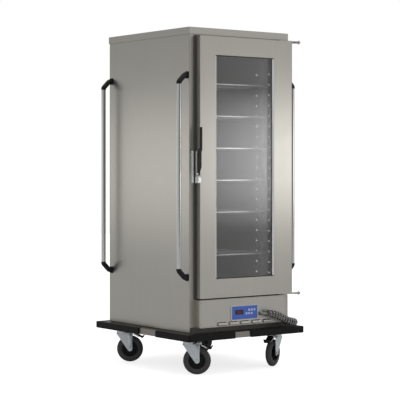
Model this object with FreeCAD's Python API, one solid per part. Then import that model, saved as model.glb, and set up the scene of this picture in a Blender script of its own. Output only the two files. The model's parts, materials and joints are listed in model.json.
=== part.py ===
import FreeCAD, Part
import math
import os
from FreeCAD import Vector

# Roll-in proofing cabinet on casters, with a glazed door, a control box under the door and a bumper
# ring round the base.  Millimetres.  While it is modelled, X = 0 is the middle of the body, Y = 0 is the
# body's front face with +Y towards the back, and Z = 0 is the floor.  The last step moves everything so
# that the origin is the middle of the footprint, on the floor.

# ---------------------------------------------------------------- driving dimensions
SHEET = 1.2                 # outer panel steel
LINER_SHEET = 1.0           # inner liner steel
BEND = 3.0                  # outer bend radius of folded steel
TOUCH = 0.01                # overlap that lets two faces of one piece fuse
RUN_FIT = 0.05              # radial play of a shaft in its bore
MOVE_GAP = 0.3              # play between pieces that move past each other

BODY_W = 680.0
BODY_D = 780.0
BODY_BOTTOM = 230.0
CAP_TOP = 1867.0
CAP_SKIRT = 38.0
CAP_OVERHANG = 5.0
FRONT_FLANGE = 26.0
REAR_FLANGE = 25.0

OPENING_W = BODY_W - 140.0  # clear door opening of the cavity
OPENING_BOTTOM = 445.0
OPENING_TOP = CAP_TOP - 82.0
OPENING_R = 10.0
RETURN_DEPTH = 40.0         # how far the front frame turns into the opening
STRIP_W = 41.0              # plastic breaker strip round the opening
STRIP_PROUD = 1.0

LINER_GAP = 18.0            # liner wall outside the opening edge, each side
LINER_BEND = 3.0
LINER_BACK = BODY_D - 51.0  # inner face of the liner's back wall
LINER_FLOOR = 440.0
LINER_ROOF = OPENING_TOP + 5.0
FLOOR_INSULATION = 50.0

RACK_STANDOFF = 26.0        # slotted face of an upright off the liner wall
UPRIGHT_W = 30.0
UPRIGHT_Y = (62.0, 173.0, LINER_BACK - 74.0)
SLOT_COUNT = 20
SLOT_HEADROOM = 140.0       # liner roof down to the top slot
SLOT_FOOT = 94.7            # liner floor up to the lowest slot
SLOT_TOP = LINER_ROOF - SLOT_HEADROOM
SLOT_LOW = LINER_FLOOR + SLOT_FOOT
SLOT_PITCH = (SLOT_TOP - SLOT_LOW) / (SLOT_COUNT - 1)
SLOT_W = 8.0
SLOT_H = 14.0
SHELF_SLOTS = (1, 4, 7, 10, 13, 17)   # slot rows that carry a shelf, from the top
SHELF_BELOW_SLOT = 19.0
SLIDE_SHEET = 1.5
SLIDE_LEG = 22.0
SLIDE_BACK = LINER_BACK - 29.0
SHELF_RIM = 8.0             # rim wire diameter
SHELF_WIRE = 4.0            # tray wire diameter
SHELF_SIDE_GAP = 4.5
SHELF_FRONT = 75.0
SHELF_BACK = LINER_BACK - 14.0
SHELF_WIRES = 9
WIRE_SIDES = 6
SHELF_CORNER = 25.0
WELD_SINK = 0.6             # how deep crossing wires are welded into each other

DOOR_LEFT = 41.0 - BODY_W / 2
DOOR_RIGHT = BODY_W / 2
DOOR_BOTTOM = 412.0
DOOR_TOP = CAP_TOP - 47.0
DOOR_THICK = 38.0
SKIN_SHORT = 2.0            # outer skin's edge ahead of the inner pan's back
DOOR_GAP = 4.0              # door back to body front
WINDOW_LEFT = DOOR_LEFT + 103.0
WINDOW_RIGHT = DOOR_RIGHT - 130.0
WINDOW_BOTTOM = 513.0
WINDOW_TOP = DOOR_TOP - 99.5
WINDOW_R = 7.0
GLASS = 4.0
GLASS_FRONT_LIP = 5.0       # bead in front of the outer pane
GLASS_SPACE = 14.0          # air between the panes
GLASS_GRIP = 12.0           # how far glass and bead reach behind the skin
PANE_PLAY = 2.0             # pane edge inside the bead's outer edge
BEAD_SHOWS = 2.5            # bead lip that shows inside the window's edge
GLASS_CORNER = 5.0          # cut corner of the panes, the bead and the pocket
PAN_SHEET = 1.5
GASKET_W = 16.0
GASKET_CORNER = 10.0
GASKET_GROOVE = 6.0

HINGE_X = BODY_W / 2 + 68.0
HINGE_Y = -20.0
HINGE_PIN = 10.0
HINGE_EYE_R = 10.0
HINGE_PLATE = 5.0
HINGE_ARM_ON_DOOR = 84.0
HINGE_LEAF_H = 48.0
HINGE_ARM_W = 26.0
HINGE_LEAF_Y = (8.0, 64.0)
HINGE_LEAF_T = 4.0
HINGE_PIN_END = 4.0         # pin past the plates it joins

BOX_LEFT = DOOR_LEFT - 5.0      # control box under the door
BOX_RIGHT = DOOR_RIGHT - 34.0
BOX_BOTTOM = 256.0
BOX_TOP = 404.0
BOX_DEPTH = 42.0
PORT_INSET = 40.0           # steel left round the cable port behind the box
LOUVRE_COUNT = 5
LOUVRE_PITCH = 78.0
LOUVRE_X = 2.0
LOUVRE_W = 60.0
LOUVRE_BOTTOM = 261.0
LOUVRE_H = 14.0
LOUVRE_PROUD = 6.0
LOUVRE_MOUTH = 3.5          # opening above each hood
LOUVRE_NOSE = 4.0           # upright edge at the top of a hood
PANEL_LEFT = -86.0          # keypad panel
PANEL_RIGHT = 90.5
PANEL_BOTTOM = 287.5
PANEL_TOP = 359.0
PANEL_THICK = 2.0
PANEL_EDGE = 8.0            # housing steel left behind the panel's edge
BEZEL_W = 6.0
BEZEL_PROUD = 3.0
DISPLAY_X = -35.0
DISPLAY_Z = 326.5
DISPLAY_W = 54.0
DISPLAY_H = 25.0
LENS_PROUD = 0.4
LENS_RIM = 3.0              # lens left round the digit block behind it
KEY_SIZE = 12.0
KEY_PROUD = 1.0
KEY_TRAVEL = 1.0
KEY_FLANGE = 1.2
KEY_CORNER = 1.5
KEY_STEM = 4.5
KEY_COLUMN_X = 14.0
KEY_PITCH_X = 18.4
KEY_ROW_Z = (336.5, 317.5)
BOARD_BACK_OFF = 4.8        # control board behind the housing steel
BOARD_THICK = 1.6
POST_INSET = 3.5            # board spacer behind the panel's edge
POST_R = 2.8

BUMPER_W = 800.0
BUMPER_FRONT = 80.0         # bumper in front of the body
BUMPER_REAR = 60.0
BUMPER_BOTTOM = 190.0
BUMPER_TOP = 226.0
BUMPER_RUBBER = 8.0
BUMPER_LIP = 22.0
BUMPER_LIP_H = 2.0
BUMPER_R = 12.0
FRONT_STRIP = (-89.0, 21.0)     # steel left bare between the rubber corners, in X
REAR_RUBBER = 380.0             # rear rubber corner, forward from the body's back
SIDE_STRIP = (BODY_D * 0.3, BODY_D - REAR_RUBBER)   # and in Y
CHASSIS_SHEET = 2.0
CHASSIS_RIM_LIFT = 2.0
CHANNEL_W = 110.0
CHANNEL_LENGTH = BUMPER_W - 100.0
CHANNEL_SHEET = 3.0

HANDLE_TUBE = 25.0
HANDLE_OFF = 55.0           # tube centre off the side panel
HANDLE_INSET = 19.0         # tube centre behind the body's front and ahead of its back
HANDLE_TOP = CAP_TOP - 257.0   # centre of the upper foot
HANDLE_BOTTOM = 525.0
ELBOW_DROP = 49.0
ELBOW_D = 28.0
ELBOW_FOOT_H = 38.0
ELBOW_FOOT_T = 5.0
ELBOW_SLANT = 38.0          # slanting run between the arm and the tube's socket
ELBOW_SIDES = 12

LATCH_BOTTOM = 1031.0
LATCH_TOP = 1203.0
KEEPER_LEFT = DOOR_LEFT - 27.5
KEEPER_W = 10.0
KEEPER_THICK = 9.0
KEEPER_BEVEL = 1.5
LATCH_PLATE = 4.0
LATCH_RIB_Y = (-27.0, -10.0)
LATCH_RIB_H = 3.0
LATCH_BOSS_H = 32.0
LATCH_BOSS_PROUD = 8.0
LEVER_CHEEK = 6.7
LEVER_GRIP_W = 13.5
LEVER_TOP = 1330.0
LEVER_FRONT = -61.0
LEVER_GRIP_T = 9.0
LEVER_PIVOT_Y = -38.0
LEVER_PIVOT_Z = 1080.0
LEVER_PIN = 6.0
LEVER_END_R = 9.0
LEVER_SHOULDER = 1207.0
LEVER_THROAT = 13.0         # hollow between the cheek and the grip
LEVER_BACK = -29.0
LEVER_KNEE = 37.0           # where the cheek's front starts to slope, above the pivot
LEVER_GRIP_CUT = 4.0

WHEEL_D = 150.0
WHEEL_W = 32.0
TYRE_INNER_D = 92.0
TYRE_SHOULDER = 7.0
TYRE_LAP = 3.0              # tyre wider than the hub's rim, each side
HUB_BORE = 10.0 + 2 * RUN_FIT
AXLE = 10.0
AXLE_HEAD = 16.0            # across the corners of the bolt's head
AXLE_HEAD_H = 6.5
HUB_LENGTH = 44.0
HUB_BOSS = 34.0
HUB_WEB = 24.0
WHEEL_SIDES = 42
CASTER_TRAIL = 45.0
CASTER_INSET = 35.0         # kingpin inside the body's side
CASTER_FRONT_Y = 54.0
CASTER_REAR_Y = BODY_D - 77.0
FORK_SHEET = 3.0
FORK_GAP = 1.0              # hub end to fork plate, both sides together
FORK_TOP = 164.0
FORK_NOSE = 33.0
FORK_TAIL = 57.0
FORK_END_R = 14.0
RIB_INSET = 8.0             # raised rib inside the edge of a fork plate
RIB_H = 1.5
RACE_R = 31.0
KINGPIN = 12.0
KINGPIN_HEAD_H = 3.5
CASTER_PLATE = (105.0, 85.0, 4.0)
CASTER_PLATE_CORNER = 6.0
PEDAL_W = 36.0
PEDAL_PIVOT = 65.0          # pedal hinge along the trail, from the kingpin
PEDAL_PIVOT_Z = 167.0
PEDAL_REACH = 130.0
PEDAL_PIN = 6.0
PEDAL_DIP = 36.0            # how far the foot plate sags below its hinge
PEDAL_BEND = 0.78           # share of the foot plate before it turns up
PEDAL_THICK = 12.0
PEDAL_TIP = 4.0             # thickness of the turned-up tip
PEDAL_TIP_DROP = 9.0        # tip below the hinge
EAR_INSET = 6.0             # fork ears inside the pedal's sides
EAR_LENGTH = 16.0
EAR_R = 6.0
# direction of each wheel from its kingpin, degrees from +X towards +Y
CASTERS = {
    "front_left": (-1, CASTER_FRONT_Y, -36.5),
    "front_right": (1, CASTER_FRONT_Y, 205.4),
    "rear_left": (-1, CASTER_REAR_Y, -36.5),
    "rear_right": (1, CASTER_REAR_Y, 143.5),
}

FAN_Y = LINER_BACK - 129.0
SHAFT = 8.0
MOTOR_D = 84.0
MOTOR_BOTTOM = 299.0
MOTOR_TOP = 378.0
MOTOR_BEVEL = 5.0
BRACKET_SHEET = 2.0
BRACKET_GAP = 12.0          # bracket leg beside the motor
BRACKET_FOOT = 18.0
SHAFT_TOP = 486.0
IMPELLER_D = 140.0
IMPELLER_BOTTOM = 452.0
IMPELLER_H = 30.0
IMPELLER_BLADES = 12
IMPELLER_PLATE = 2.0
IMPELLER_HUB_WALL = 7.0
EYE_SHARE = 0.54            # inner end of a blade, as a share of the wheel's radius
BLADE_SHEET = 1.2
BLADE_CURVE = 0.4           # share of the lean that a blade has at its bend
BLADE_LEAN = 28.0          # how far a blade's tip falls behind its root, in degrees
COVER_W = 240.0
COVER_FRONT = FAN_Y - 120.0
COVER_BACK = LINER_BACK - 7.0
COVER_TOP = 505.0
COVER_CORNER = 8.0
COVER_FOOT = 12.0
COVER_SLOT = 8.0
COVER_SLOTS = 7
COVER_EYE_R = 60.0          # round field of slots over the fan
HEATER_D = 8.0
HEATER_R = 92.0
HEATER_Z = 462.0
HEATER_LEG_X = 15.0
HEATER_LEG_BOTTOM = 375.0
HEATER_SIDES = 8
HEATER_NUT_H = 4.0
LEG_PLAY = 0.3              # heater leg in the liner's floor
SHAFT_PLAY = 4.0            # fan shaft in the liner's floor
PAN_W = 300.0
PAN_BACK = COVER_FRONT - 40.0
PAN_DEPTH = 320.0
PAN_FRONT = PAN_BACK - PAN_DEPTH
PAN_H = 60.0
PAN_CORNER = 14.0
PAN_RIM = 9.0

# cord: a curly lead, drawn as one tube of the curl's outer diameter
GLAND_X = 109.0
GLAND_Z = 311.0
GLAND_R = 11.0
GLAND_THREAD_R = 7.0
GLAND_NUT = 5.0
GLAND_BEND = 24.0           # where the boot turns, in front of the box
GLAND_BOOT_R = 7.0
BOOT_SIDES = 10
CURL_D = 44.0
CURL_SIDES = 8
CURL_POINTS = [
    (133, -67, 311), (168, -72, 311), (212, -77, 297), (258, -77, 274), (306, -75, 256), (347, -57, 249),
    (370, -14, 248.5), (374, 42, 248.5), (371, 98, 248.5), (374, 154, 248.5), (373, 205, 248.5),
]
PLUG_LENGTH = 74.0
PLUG_R = 20.0
PLUG_NECK = 34.0            # tapering part behind the plug's body
PLUG_NECK_R = 7.0
PLUG_PIN = 4.8
PLUG_PIN_X = 9.5
PLUG_PIN_LENGTH = 19.0

# ---------------------------------------------------------------- places that follow from them
HALF_W = BODY_W / 2
CAP_UNDER = CAP_TOP - SHEET
DOOR_FRONT = -(DOOR_GAP + DOOR_THICK)
DOOR_BACK = -DOOR_GAP
HALF_OPENING = OPENING_W / 2
FRAME_FRONT = SHEET                     # the frame plate lies behind the side panels' flanges
FRAME_BACK = 2 * SHEET
RETURN_BACK = FRAME_BACK + RETURN_DEPTH
LINER_X = HALF_OPENING + LINER_GAP      # inner face of the liner's side walls
BACK_PANEL_Y = BODY_D - 2 * SHEET
RACK_X = LINER_X - RACK_STANDOFF
SHELF_X = RACK_X - SLIDE_SHEET - SHELF_SIDE_GAP
BOX_FRONT = -BOX_DEPTH
CHASSIS_TOP = BUMPER_TOP - BUMPER_LIP_H
CHASSIS_X = BUMPER_W / 2 - BUMPER_RUBBER
CHASSIS_FRONT = -BUMPER_FRONT + BUMPER_RUBBER
CHASSIS_REAR = BODY_D + BUMPER_REAR - BUMPER_RUBBER
SHELF_LEVELS = [SLOT_TOP - SLOT_PITCH * slot - SHELF_BELOW_SLOT for slot in SHELF_SLOTS]
X_AXIS = Vector(1, 0, 0)
Y_AXIS = Vector(0, 1, 0)
Z_AXIS = Vector(0, 0, 1)
FLAT_OF_SIX = math.cos(math.pi / 6)     # across-flats share of a six-sided bar's radius
CORNER_CUT = 2 - math.sqrt(2)           # flat corner cut that follows a rounded corner


# ---------------------------------------------------------------- small tools
def block(x, y, z):
    """Box between the two limits given for each axis."""
    return Part.makeBox(x[1] - x[0], y[1] - y[0], z[1] - z[0], Vector(x[0], y[0], z[0]))


def edges_along(solid, axis):
    """Straight edges of a solid that run along an axis."""
    found = []
    for edge in solid.Edges:
        if isinstance(edge.Curve, Part.Line) and abs(edge.Curve.Direction.dot(axis)) > 0.999:
            found.append(edge)
    return found


def rounded_block(x, y, z, radius, axis):
    """Box whose four edges along one axis are rounded."""
    solid = block(x, y, z)
    return solid.makeFillet(radius, edges_along(solid, axis))


def cut_block(x, y, z, size, axis):
    """Box whose four edges along one axis are cut off flat; a size of 0 leaves them sharp."""
    solid = block(x, y, z)
    return solid.makeChamfer(size, edges_along(solid, axis)) if size else solid


def rod(start, end, radius):
    """Round bar between two points."""
    direction = Vector(*end).sub(Vector(*start))
    return Part.makeCylinder(radius, direction.Length, Vector(*start), direction)


def join(shapes):
    """One solid from shapes that touch or overlap."""
    return shapes[0].fuse(shapes[1:]).removeSplitter()


def grown(limits, amount):
    """A pair of limits moved outwards at both ends."""
    return (limits[0] - amount, limits[1] + amount)


def corner(before, here, after, radius):
    """Start, middle and end of the arc that rounds one corner of a path."""
    into = here.sub(before).normalize()
    out = after.sub(here).normalize()
    half_turn = into.getAngle(out) / 2
    inward = out.sub(into).normalize()
    reach = radius * math.tan(half_turn)
    middle = here.add(inward.multiply(radius / math.cos(half_turn) - radius))
    return here.sub(into.multiply(reach)), middle, here.add(out.multiply(reach))


def path(points, radii, closed):
    """Wire of straight runs joined by tangent arcs; a radius of 0 keeps a corner sharp."""
    corners = [Vector(*point) for point in points]
    count = len(corners)
    arcs = []
    for index, here in enumerate(corners):
        at_end = not closed and index in (0, count - 1)
        if at_end or not radii[index]:
            arcs.append((here, None, here))
        else:
            arcs.append(corner(corners[index - 1], here, corners[(index + 1) % count], radii[index]))
    edges = []
    for index, (start, middle, end) in enumerate(arcs):
        if middle is not None:
            edges.append(Part.Arc(start, middle, end).toShape())
        following = arcs[(index + 1) % count][0]
        if (closed or index < count - 1) and end.distanceToPoint(following) > 1e-6:
            edges.append(Part.LineSegment(end, following).toShape())
    return Part.Wire(edges)


def plate(points, radii, push):
    """Flat outline with rounded corners, pushed along a vector into a solid."""
    return Part.Face(path(points, radii, True)).extrude(push)


def polygon_ring(middle, along, radius, sides):
    """Corner points of a regular polygon, square to a direction."""
    start = Z_AXIS if abs(along.dot(Z_AXIS)) < 0.9 else X_AXIS
    spoke = along.cross(start).normalize() * radius
    points = []
    for number in range(sides):
        turn = FreeCAD.Rotation(along, (number + 0.5) * 360 / sides)
        points.append(middle.add(turn.multVec(spoke)))
    return points


def mitred_bar(points, radius, sides, closed=False):
    """Many-sided bar that follows straight runs, with a mitre at every corner."""
    corners = [Vector(*point) for point in points]
    if closed:
        corners.append(corners[0])
    runs = [after.sub(here).normalize() for here, after in zip(corners, corners[1:])]
    ends = [runs[-1], runs[0]] if closed else [runs[0], runs[-1]]
    mitres = [runs[0].add(ends[0])] + [into.add(out) for into, out in zip(runs, runs[1:])]
    mitres.append(runs[-1].add(runs[0] if closed else ends[1]))
    loops = [slid(polygon_ring(corners[0], runs[0], radius, sides), runs[0], corners[0], mitres[0])]
    for run, corner_point, mitre in zip(runs, corners[1:], mitres[1:]):
        loops.append(slid(loops[-1], run, corner_point, mitre))
    faces = []
    for near, far in zip(loops, loops[1:]):
        for number in range(sides):
            following = (number + 1) % sides
            faces.append(flat_face([near[number], near[following], far[following], far[number]]))
    if not closed:
        faces += [flat_face(loops[0]), flat_face(loops[-1])]
    solid = Part.Solid(Part.Shell(faces))
    return solid if solid.Volume > 0 else solid.reversed()


def slid(points, along, through, normal):
    """Points moved along a direction until they lie on a plane."""
    return [point.add(along * (through.sub(point).dot(normal) / along.dot(normal))) for point in points]


def flat_face(points):
    return Part.Face(Part.makePolygon(points + [points[0]]))


def six_sided(start, end, radius):
    """Hexagonal bar or bolt head between two points."""
    return mitred_bar([start, end], radius, 6)


def ring(outer_x, outer_z, inner_x, inner_z, y, outer_cut, inner_cut):
    """Flat frame in the XZ plane, between two rectangles with cut corners."""
    outer = cut_block(outer_x, y, outer_z, outer_cut, Y_AXIS)
    inner = cut_block(inner_x, grown(y, 1), inner_z, inner_cut, Y_AXIS)
    return outer.cut(inner)


def mirrored(shape):
    """The same piece on the other side of the cabinet."""
    return shape.mirror(Vector(0, 0, 0), X_AXIS)


# ---------------------------------------------------------------- body shell
def side_panel():
    """Left side: one sheet folded round the front and back edges."""
    inside = -HALF_W + SHEET
    points = [
        (-HALF_W + FRONT_FLANGE, 0, 0), (-HALF_W, 0, 0), (-HALF_W, BODY_D, 0),
        (-HALF_W + REAR_FLANGE, BODY_D, 0), (-HALF_W + REAR_FLANGE, BODY_D - SHEET, 0),
        (inside, BODY_D - SHEET, 0), (inside, SHEET, 0), (-HALF_W + FRONT_FLANGE, SHEET, 0),
    ]
    radii = [0, BEND, BEND, 0, 0, BEND - SHEET, BEND - SHEET, 0]
    panel = plate(points, radii, Z_AXIS * (CAP_UNDER - BODY_BOTTOM))
    panel.translate(Z_AXIS * BODY_BOTTOM)
    notch_x = (-HALF_W + BEND, -HALF_W + FRONT_FLANGE + 1)
    return panel.cut(block(notch_x, (-1, SHEET + 1), (BODY_BOTTOM - 1, BOX_BOTTOM + 1)))


def back_panel():
    reach = HALF_W - BEND
    return block((-reach, reach), (BACK_PANEL_Y, BODY_D - SHEET), (BODY_BOTTOM, CAP_UNDER))


def roof_cap():
    """Shallow lid whose skirt hangs over the tops of the side panels."""
    over = HALF_W + CAP_OVERHANG
    x = (-over, over)
    y = (-CAP_OVERHANG, BODY_D + CAP_OVERHANG)
    skirt = (CAP_TOP - CAP_SKIRT, CAP_TOP)
    outer = rounded_block(x, y, skirt, BEND, Z_AXIS)
    top_edges = [edge for edge in outer.Edges if edge.BoundBox.ZMin > CAP_TOP - TOUCH]
    outer = outer.makeChamfer(SHEET, top_edges)
    hollow = (skirt[0] - 1, CAP_UNDER)
    inner = rounded_block(grown(x, -SHEET), grown(y, -SHEET), hollow, BEND - SHEET, Z_AXIS)
    return outer.cut(inner)


def base_pan():
    """Tray that closes the machine space from below and stands on the chassis."""
    x = (-HALF_W + BEND, HALF_W - BEND)
    y = (FRAME_BACK + SHEET, BACK_PANEL_Y - SHEET)
    outer = cut_block(x, y, (CHASSIS_TOP, BOX_BOTTOM), BEND, Z_AXIS)
    hollow = (CHASSIS_TOP + SHEET, BOX_BOTTOM + 1)
    inner = cut_block(grown(x, -SHEET), grown(y, -SHEET), hollow, BEND - SHEET, Z_AXIS)
    return outer.cut(inner)


def front_frame():
    """Plate round the door opening, turned back into it, and reaching down behind the control box."""
    reach = HALF_W - BEND
    opening = (-HALF_OPENING, HALF_OPENING)
    height = (OPENING_BOTTOM, OPENING_TOP)
    face = block((-reach, reach), (FRAME_FRONT, FRAME_BACK), (BOX_BOTTOM + 1, CAP_UNDER))
    returns = rounded_block(
        grown(opening, SHEET), (FRAME_FRONT, RETURN_BACK), grown(height, SHEET), OPENING_R + SHEET, Y_AXIS)
    hole = rounded_block(opening, (0, RETURN_BACK + 1), height, OPENING_R, Y_AXIS)
    port_x = (BOX_LEFT + PORT_INSET, BOX_RIGHT - PORT_INSET)
    port_z = (BOX_BOTTOM + PORT_INSET / 2, BOX_TOP - PORT_INSET / 2)
    cable_port = block(port_x, (0, FRAME_BACK + 1), port_z)
    return join([face, returns]).cut(hole).cut(cable_port)


def breaker_strip():
    """Plastic ring that the door seals against."""
    opening = (-HALF_OPENING, HALF_OPENING)
    height = (OPENING_BOTTOM, OPENING_TOP)
    outer_z = (max(OPENING_BOTTOM - STRIP_W, BOX_TOP + 0.5), OPENING_TOP + STRIP_W)
    return ring(grown(opening, STRIP_W), outer_z, opening, height, (-STRIP_PROUD, FRAME_FRONT), 6, OPENING_R)


def liner_limits():
    return (-LINER_X, LINER_X), (RETURN_BACK + LINER_SHEET, LINER_BACK), (LINER_FLOOR, LINER_ROOF)


def inner_liner():
    """Folded steel cavity with a front flange, and holes in its floor for the fan and the heater."""
    x, y, z = liner_limits()
    skin = LINER_SHEET
    outer = cut_block(grown(x, skin), grown(y, skin), grown(z, skin), LINER_BEND + skin / 2, Z_AXIS)
    inner = cut_block(x, y, z, LINER_BEND, Z_AXIS)
    mouth_y = (RETURN_BACK - 1, y[0] + 1)
    mouth = rounded_block(
        (-HALF_OPENING, HALF_OPENING), mouth_y, (OPENING_BOTTOM, OPENING_TOP), OPENING_R, Y_AXIS)
    shell = outer.cut(inner).cut(mouth)
    for hole in floor_holes(LINER_FLOOR - LINER_SHEET - 1, LINER_FLOOR + 1, LEG_PLAY):
        shell = shell.cut(hole)
    return shell


def floor_holes(bottom, top, play):
    """Holes for the fan shaft and the two heater legs."""
    holes = [rod((0, FAN_Y, bottom), (0, FAN_Y, top), SHAFT / 2 + SHAFT_PLAY)]
    for side in (-1, 1):
        x = side * HEATER_LEG_X
        y = FAN_Y - HEATER_R
        holes.append(mitred_bar([(x, y, bottom), (x, y, top)], HEATER_D / 2 + play, HEATER_SIDES))
    return holes


def wall_insulation():
    """Five slabs between the liner and the outer steel."""
    x, y, z = liner_limits()
    outside = x[1] + LINER_SHEET
    behind = y[1] + LINER_SHEET
    above = z[1] + LINER_SHEET
    below = z[0] - LINER_SHEET
    tall = (below - FLOOR_INSULATION, CAP_UNDER)
    side = block((outside, HALF_W - SHEET), (y[0], BODY_D - BEND), tall)
    back = block((-outside, outside), (behind, BACK_PANEL_Y), tall)
    roof = block((-outside, outside), (y[0], behind), (above, CAP_UNDER))
    floor = block((-outside, outside), (y[0], behind), (tall[0], below))
    for hole in floor_holes(tall[0] - 1, below + 1, 2 * LEG_PLAY):
        floor = floor.cut(hole)
    return Part.makeCompound([side, mirrored(side), back, roof, floor])


# ---------------------------------------------------------------- racks and shelves
def upright(y):
    """Slotted hat channel on the left liner wall."""
    near = (y - UPRIGHT_W / 2, y + UPRIGHT_W / 2)
    height = (LINER_FLOOR, LINER_ROOF)
    channel = block((-LINER_X, -RACK_X), near, height)
    channel = channel.cut(block((-LINER_X - 1, -RACK_X - SHEET), grown(near, -SHEET), grown(height, 1)))
    slots = []
    for row in range(SLOT_COUNT):
        middle = SLOT_TOP - row * SLOT_PITCH
        across = (y - SLOT_W / 2, y + SLOT_W / 2)
        tall = (middle - SLOT_H / 2, middle + SLOT_H / 2)
        slots.append(block((-RACK_X - SHEET - 1, -RACK_X + 1), across, tall))
    return channel.cut(slots)


def tray_slide(level):
    """Angle that hooks on the left uprights and carries one shelf's rim."""
    inner = -RACK_X
    seat = level - SHELF_RIM / 2
    tip = inner + SLIDE_LEG
    bend = inner + SLIDE_SHEET
    points = [
        (inner, 0, seat - SLIDE_SHEET), (tip, 0, seat - SLIDE_SHEET), (tip, 0, seat),
        (bend, 0, seat), (bend, 0, seat + SLIDE_LEG), (inner, 0, seat + SLIDE_LEG),
    ]
    start = UPRIGHT_Y[0] - UPRIGHT_W / 2
    angle = plate(points, [0] * len(points), Y_AXIS * (SLIDE_BACK - start))
    return angle.translate(Y_AXIS * start)


def side_racks():
    left = [upright(y) for y in UPRIGHT_Y]
    left += [tray_slide(level) for level in SHELF_LEVELS]
    return Part.makeCompound(left + [mirrored(piece) for piece in left])


def wire_shelf(level):
    """Rim of heavy wire, two bars across it, and thin wires laid on top from front to back."""
    rim_r = SHELF_RIM / 2
    side = SHELF_X - rim_r
    front = SHELF_FRONT + rim_r
    back = SHELF_BACK - rim_r
    cut = SHELF_CORNER * CORNER_CUT
    loop = [
        (cut - side, front, level), (side - cut, front, level), (side, front + cut, level),
        (side, back - cut, level), (side - cut, back, level), (cut - side, back, level),
        (-side, back - cut, level), (-side, front + cut, level),
    ]
    pieces = [mitred_bar(loop, rim_r, WIRE_SIDES, closed=True)]
    for share in (1 / 3, 2 / 3):
        y = front + share * (back - front)
        pieces.append(six_sided((-side, y, level), (side, y, level), rim_r - 1))
    lift = rim_r * FLAT_OF_SIX + SHELF_WIRE / 2 * FLAT_OF_SIX - WELD_SINK
    gap = 2 * side / (SHELF_WIRES + 1)
    for number in range(1, SHELF_WIRES + 1):
        x = -side + number * gap
        pieces.append(six_sided((x, front, level + lift), (x, back, level + lift), SHELF_WIRE / 2))
    return join(pieces)


def wire_shelves():
    shelf = wire_shelf(0)
    return Part.makeCompound([shelf.translated(Z_AXIS * level) for level in SHELF_LEVELS])


# ---------------------------------------------------------------- control box
def louvre_section(offset):
    """Side view of a louvre hood: it leans out of the face and is open at the top."""
    top = LOUVRE_BOTTOM + LOUVRE_H
    out = BOX_FRONT - LOUVRE_PROUD + offset
    face = BOX_FRONT + offset
    return [(0, face, LOUVRE_BOTTOM), (0, out, top - LOUVRE_NOSE), (0, out, top), (0, face, top)]


def keypad_cut_out():
    """Hole in the housing behind the keypad panel."""
    x = grown((PANEL_LEFT, PANEL_RIGHT), -PANEL_EDGE)
    z = grown((PANEL_BOTTOM, PANEL_TOP), -PANEL_EDGE)
    return block(x, (BOX_FRONT - 1, BOX_FRONT + SHEET + 1), z)


def control_housing():
    """Folded box, open at the back, with a row of louvres and the keypad's cut-out."""
    x = (BOX_LEFT, BOX_RIGHT)
    z = (BOX_BOTTOM, BOX_TOP)
    outer = block(x, (BOX_FRONT, FRAME_FRONT), z)
    front_edges = [edge for edge in outer.Edges if edge.BoundBox.YMax < BOX_FRONT + TOUCH]
    outer = outer.makeChamfer(SHEET, front_edges)
    inner = block(grown(x, -SHEET), (BOX_FRONT + SHEET, FRAME_FRONT + 1), grown(z, -SHEET))
    box = outer.cut(inner)
    hoods = []
    holes = [keypad_cut_out()]
    hollow_w = LOUVRE_W - 2 * SHEET
    mouth_y = (BOX_FRONT - LOUVRE_PROUD + SHEET, BOX_FRONT + SHEET + 1)
    mouth_z = (LOUVRE_BOTTOM + LOUVRE_H - LOUVRE_NOSE, LOUVRE_BOTTOM + LOUVRE_H + LOUVRE_MOUTH)
    for number in range(LOUVRE_COUNT):
        middle = LOUVRE_X + (number - (LOUVRE_COUNT - 1) / 2) * LOUVRE_PITCH
        left = middle - LOUVRE_W / 2
        inside = X_AXIS * (left + SHEET)
        hood = plate(louvre_section(TOUCH), [0] * 4, X_AXIS * LOUVRE_W)
        hollow = plate(louvre_section(SHEET), [0] * 4, X_AXIS * hollow_w)
        mouth = block((0, hollow_w), mouth_y, mouth_z)
        hoods.append(hood.translated(X_AXIS * left))
        holes += [hollow.translated(inside), mouth.translated(inside)]
    front = BOX_FRONT - 1
    holes.append(rod((GLAND_X, front, GLAND_Z), (GLAND_X, BOX_FRONT + SHEET + 1, GLAND_Z), GLAND_THREAD_R))
    return join([box] + hoods).cut(holes)


def keypad_bezel():
    x = (PANEL_LEFT, PANEL_RIGHT)
    z = (PANEL_BOTTOM, PANEL_TOP)
    y = (BOX_FRONT - BEZEL_PROUD, BOX_FRONT)
    return ring(grown(x, BEZEL_W), grown(z, BEZEL_W), x, z, y, BEZEL_W, 0)


def key_places():
    """Middle of each key: the upper row starts one column later than the lower row."""
    places = []
    for row, z in enumerate(KEY_ROW_Z):
        for column in range(3):
            places.append((KEY_COLUMN_X + KEY_PITCH_X * (column + 1 - row), z))
    return places


def keypad_panel():
    """Plate with a window for the display and a square hole for each key."""
    y = (BOX_FRONT - PANEL_THICK, BOX_FRONT)
    face = block((PANEL_LEFT, PANEL_RIGHT), y, (PANEL_BOTTOM, PANEL_TOP))
    half = KEY_SIZE / 2 + MOVE_GAP
    holes = [display_block(grown(y, 1))]
    for x, z in key_places():
        holes.append(block((x - half, x + half), grown(y, 1), (z - half, z + half)))
    return face.cut(holes)


def display_limits():
    x = (DISPLAY_X - DISPLAY_W / 2, DISPLAY_X + DISPLAY_W / 2)
    z = (DISPLAY_Z - DISPLAY_H / 2, DISPLAY_Z + DISPLAY_H / 2)
    return x, z


def display_block(y):
    x, z = display_limits()
    return block(x, y, z)


def display_window():
    """Lens of the display, as thick as the panel, with the digit block behind it on the board."""
    lens = display_block((BOX_FRONT - PANEL_THICK - LENS_PROUD, BOX_FRONT))
    x, z = display_limits()
    board = BOX_FRONT + SHEET + BOARD_BACK_OFF
    digits = block(grown(x, -LENS_RIM), (BOX_FRONT, board), grown(z, -LENS_RIM))
    return join([lens, digits])


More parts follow.
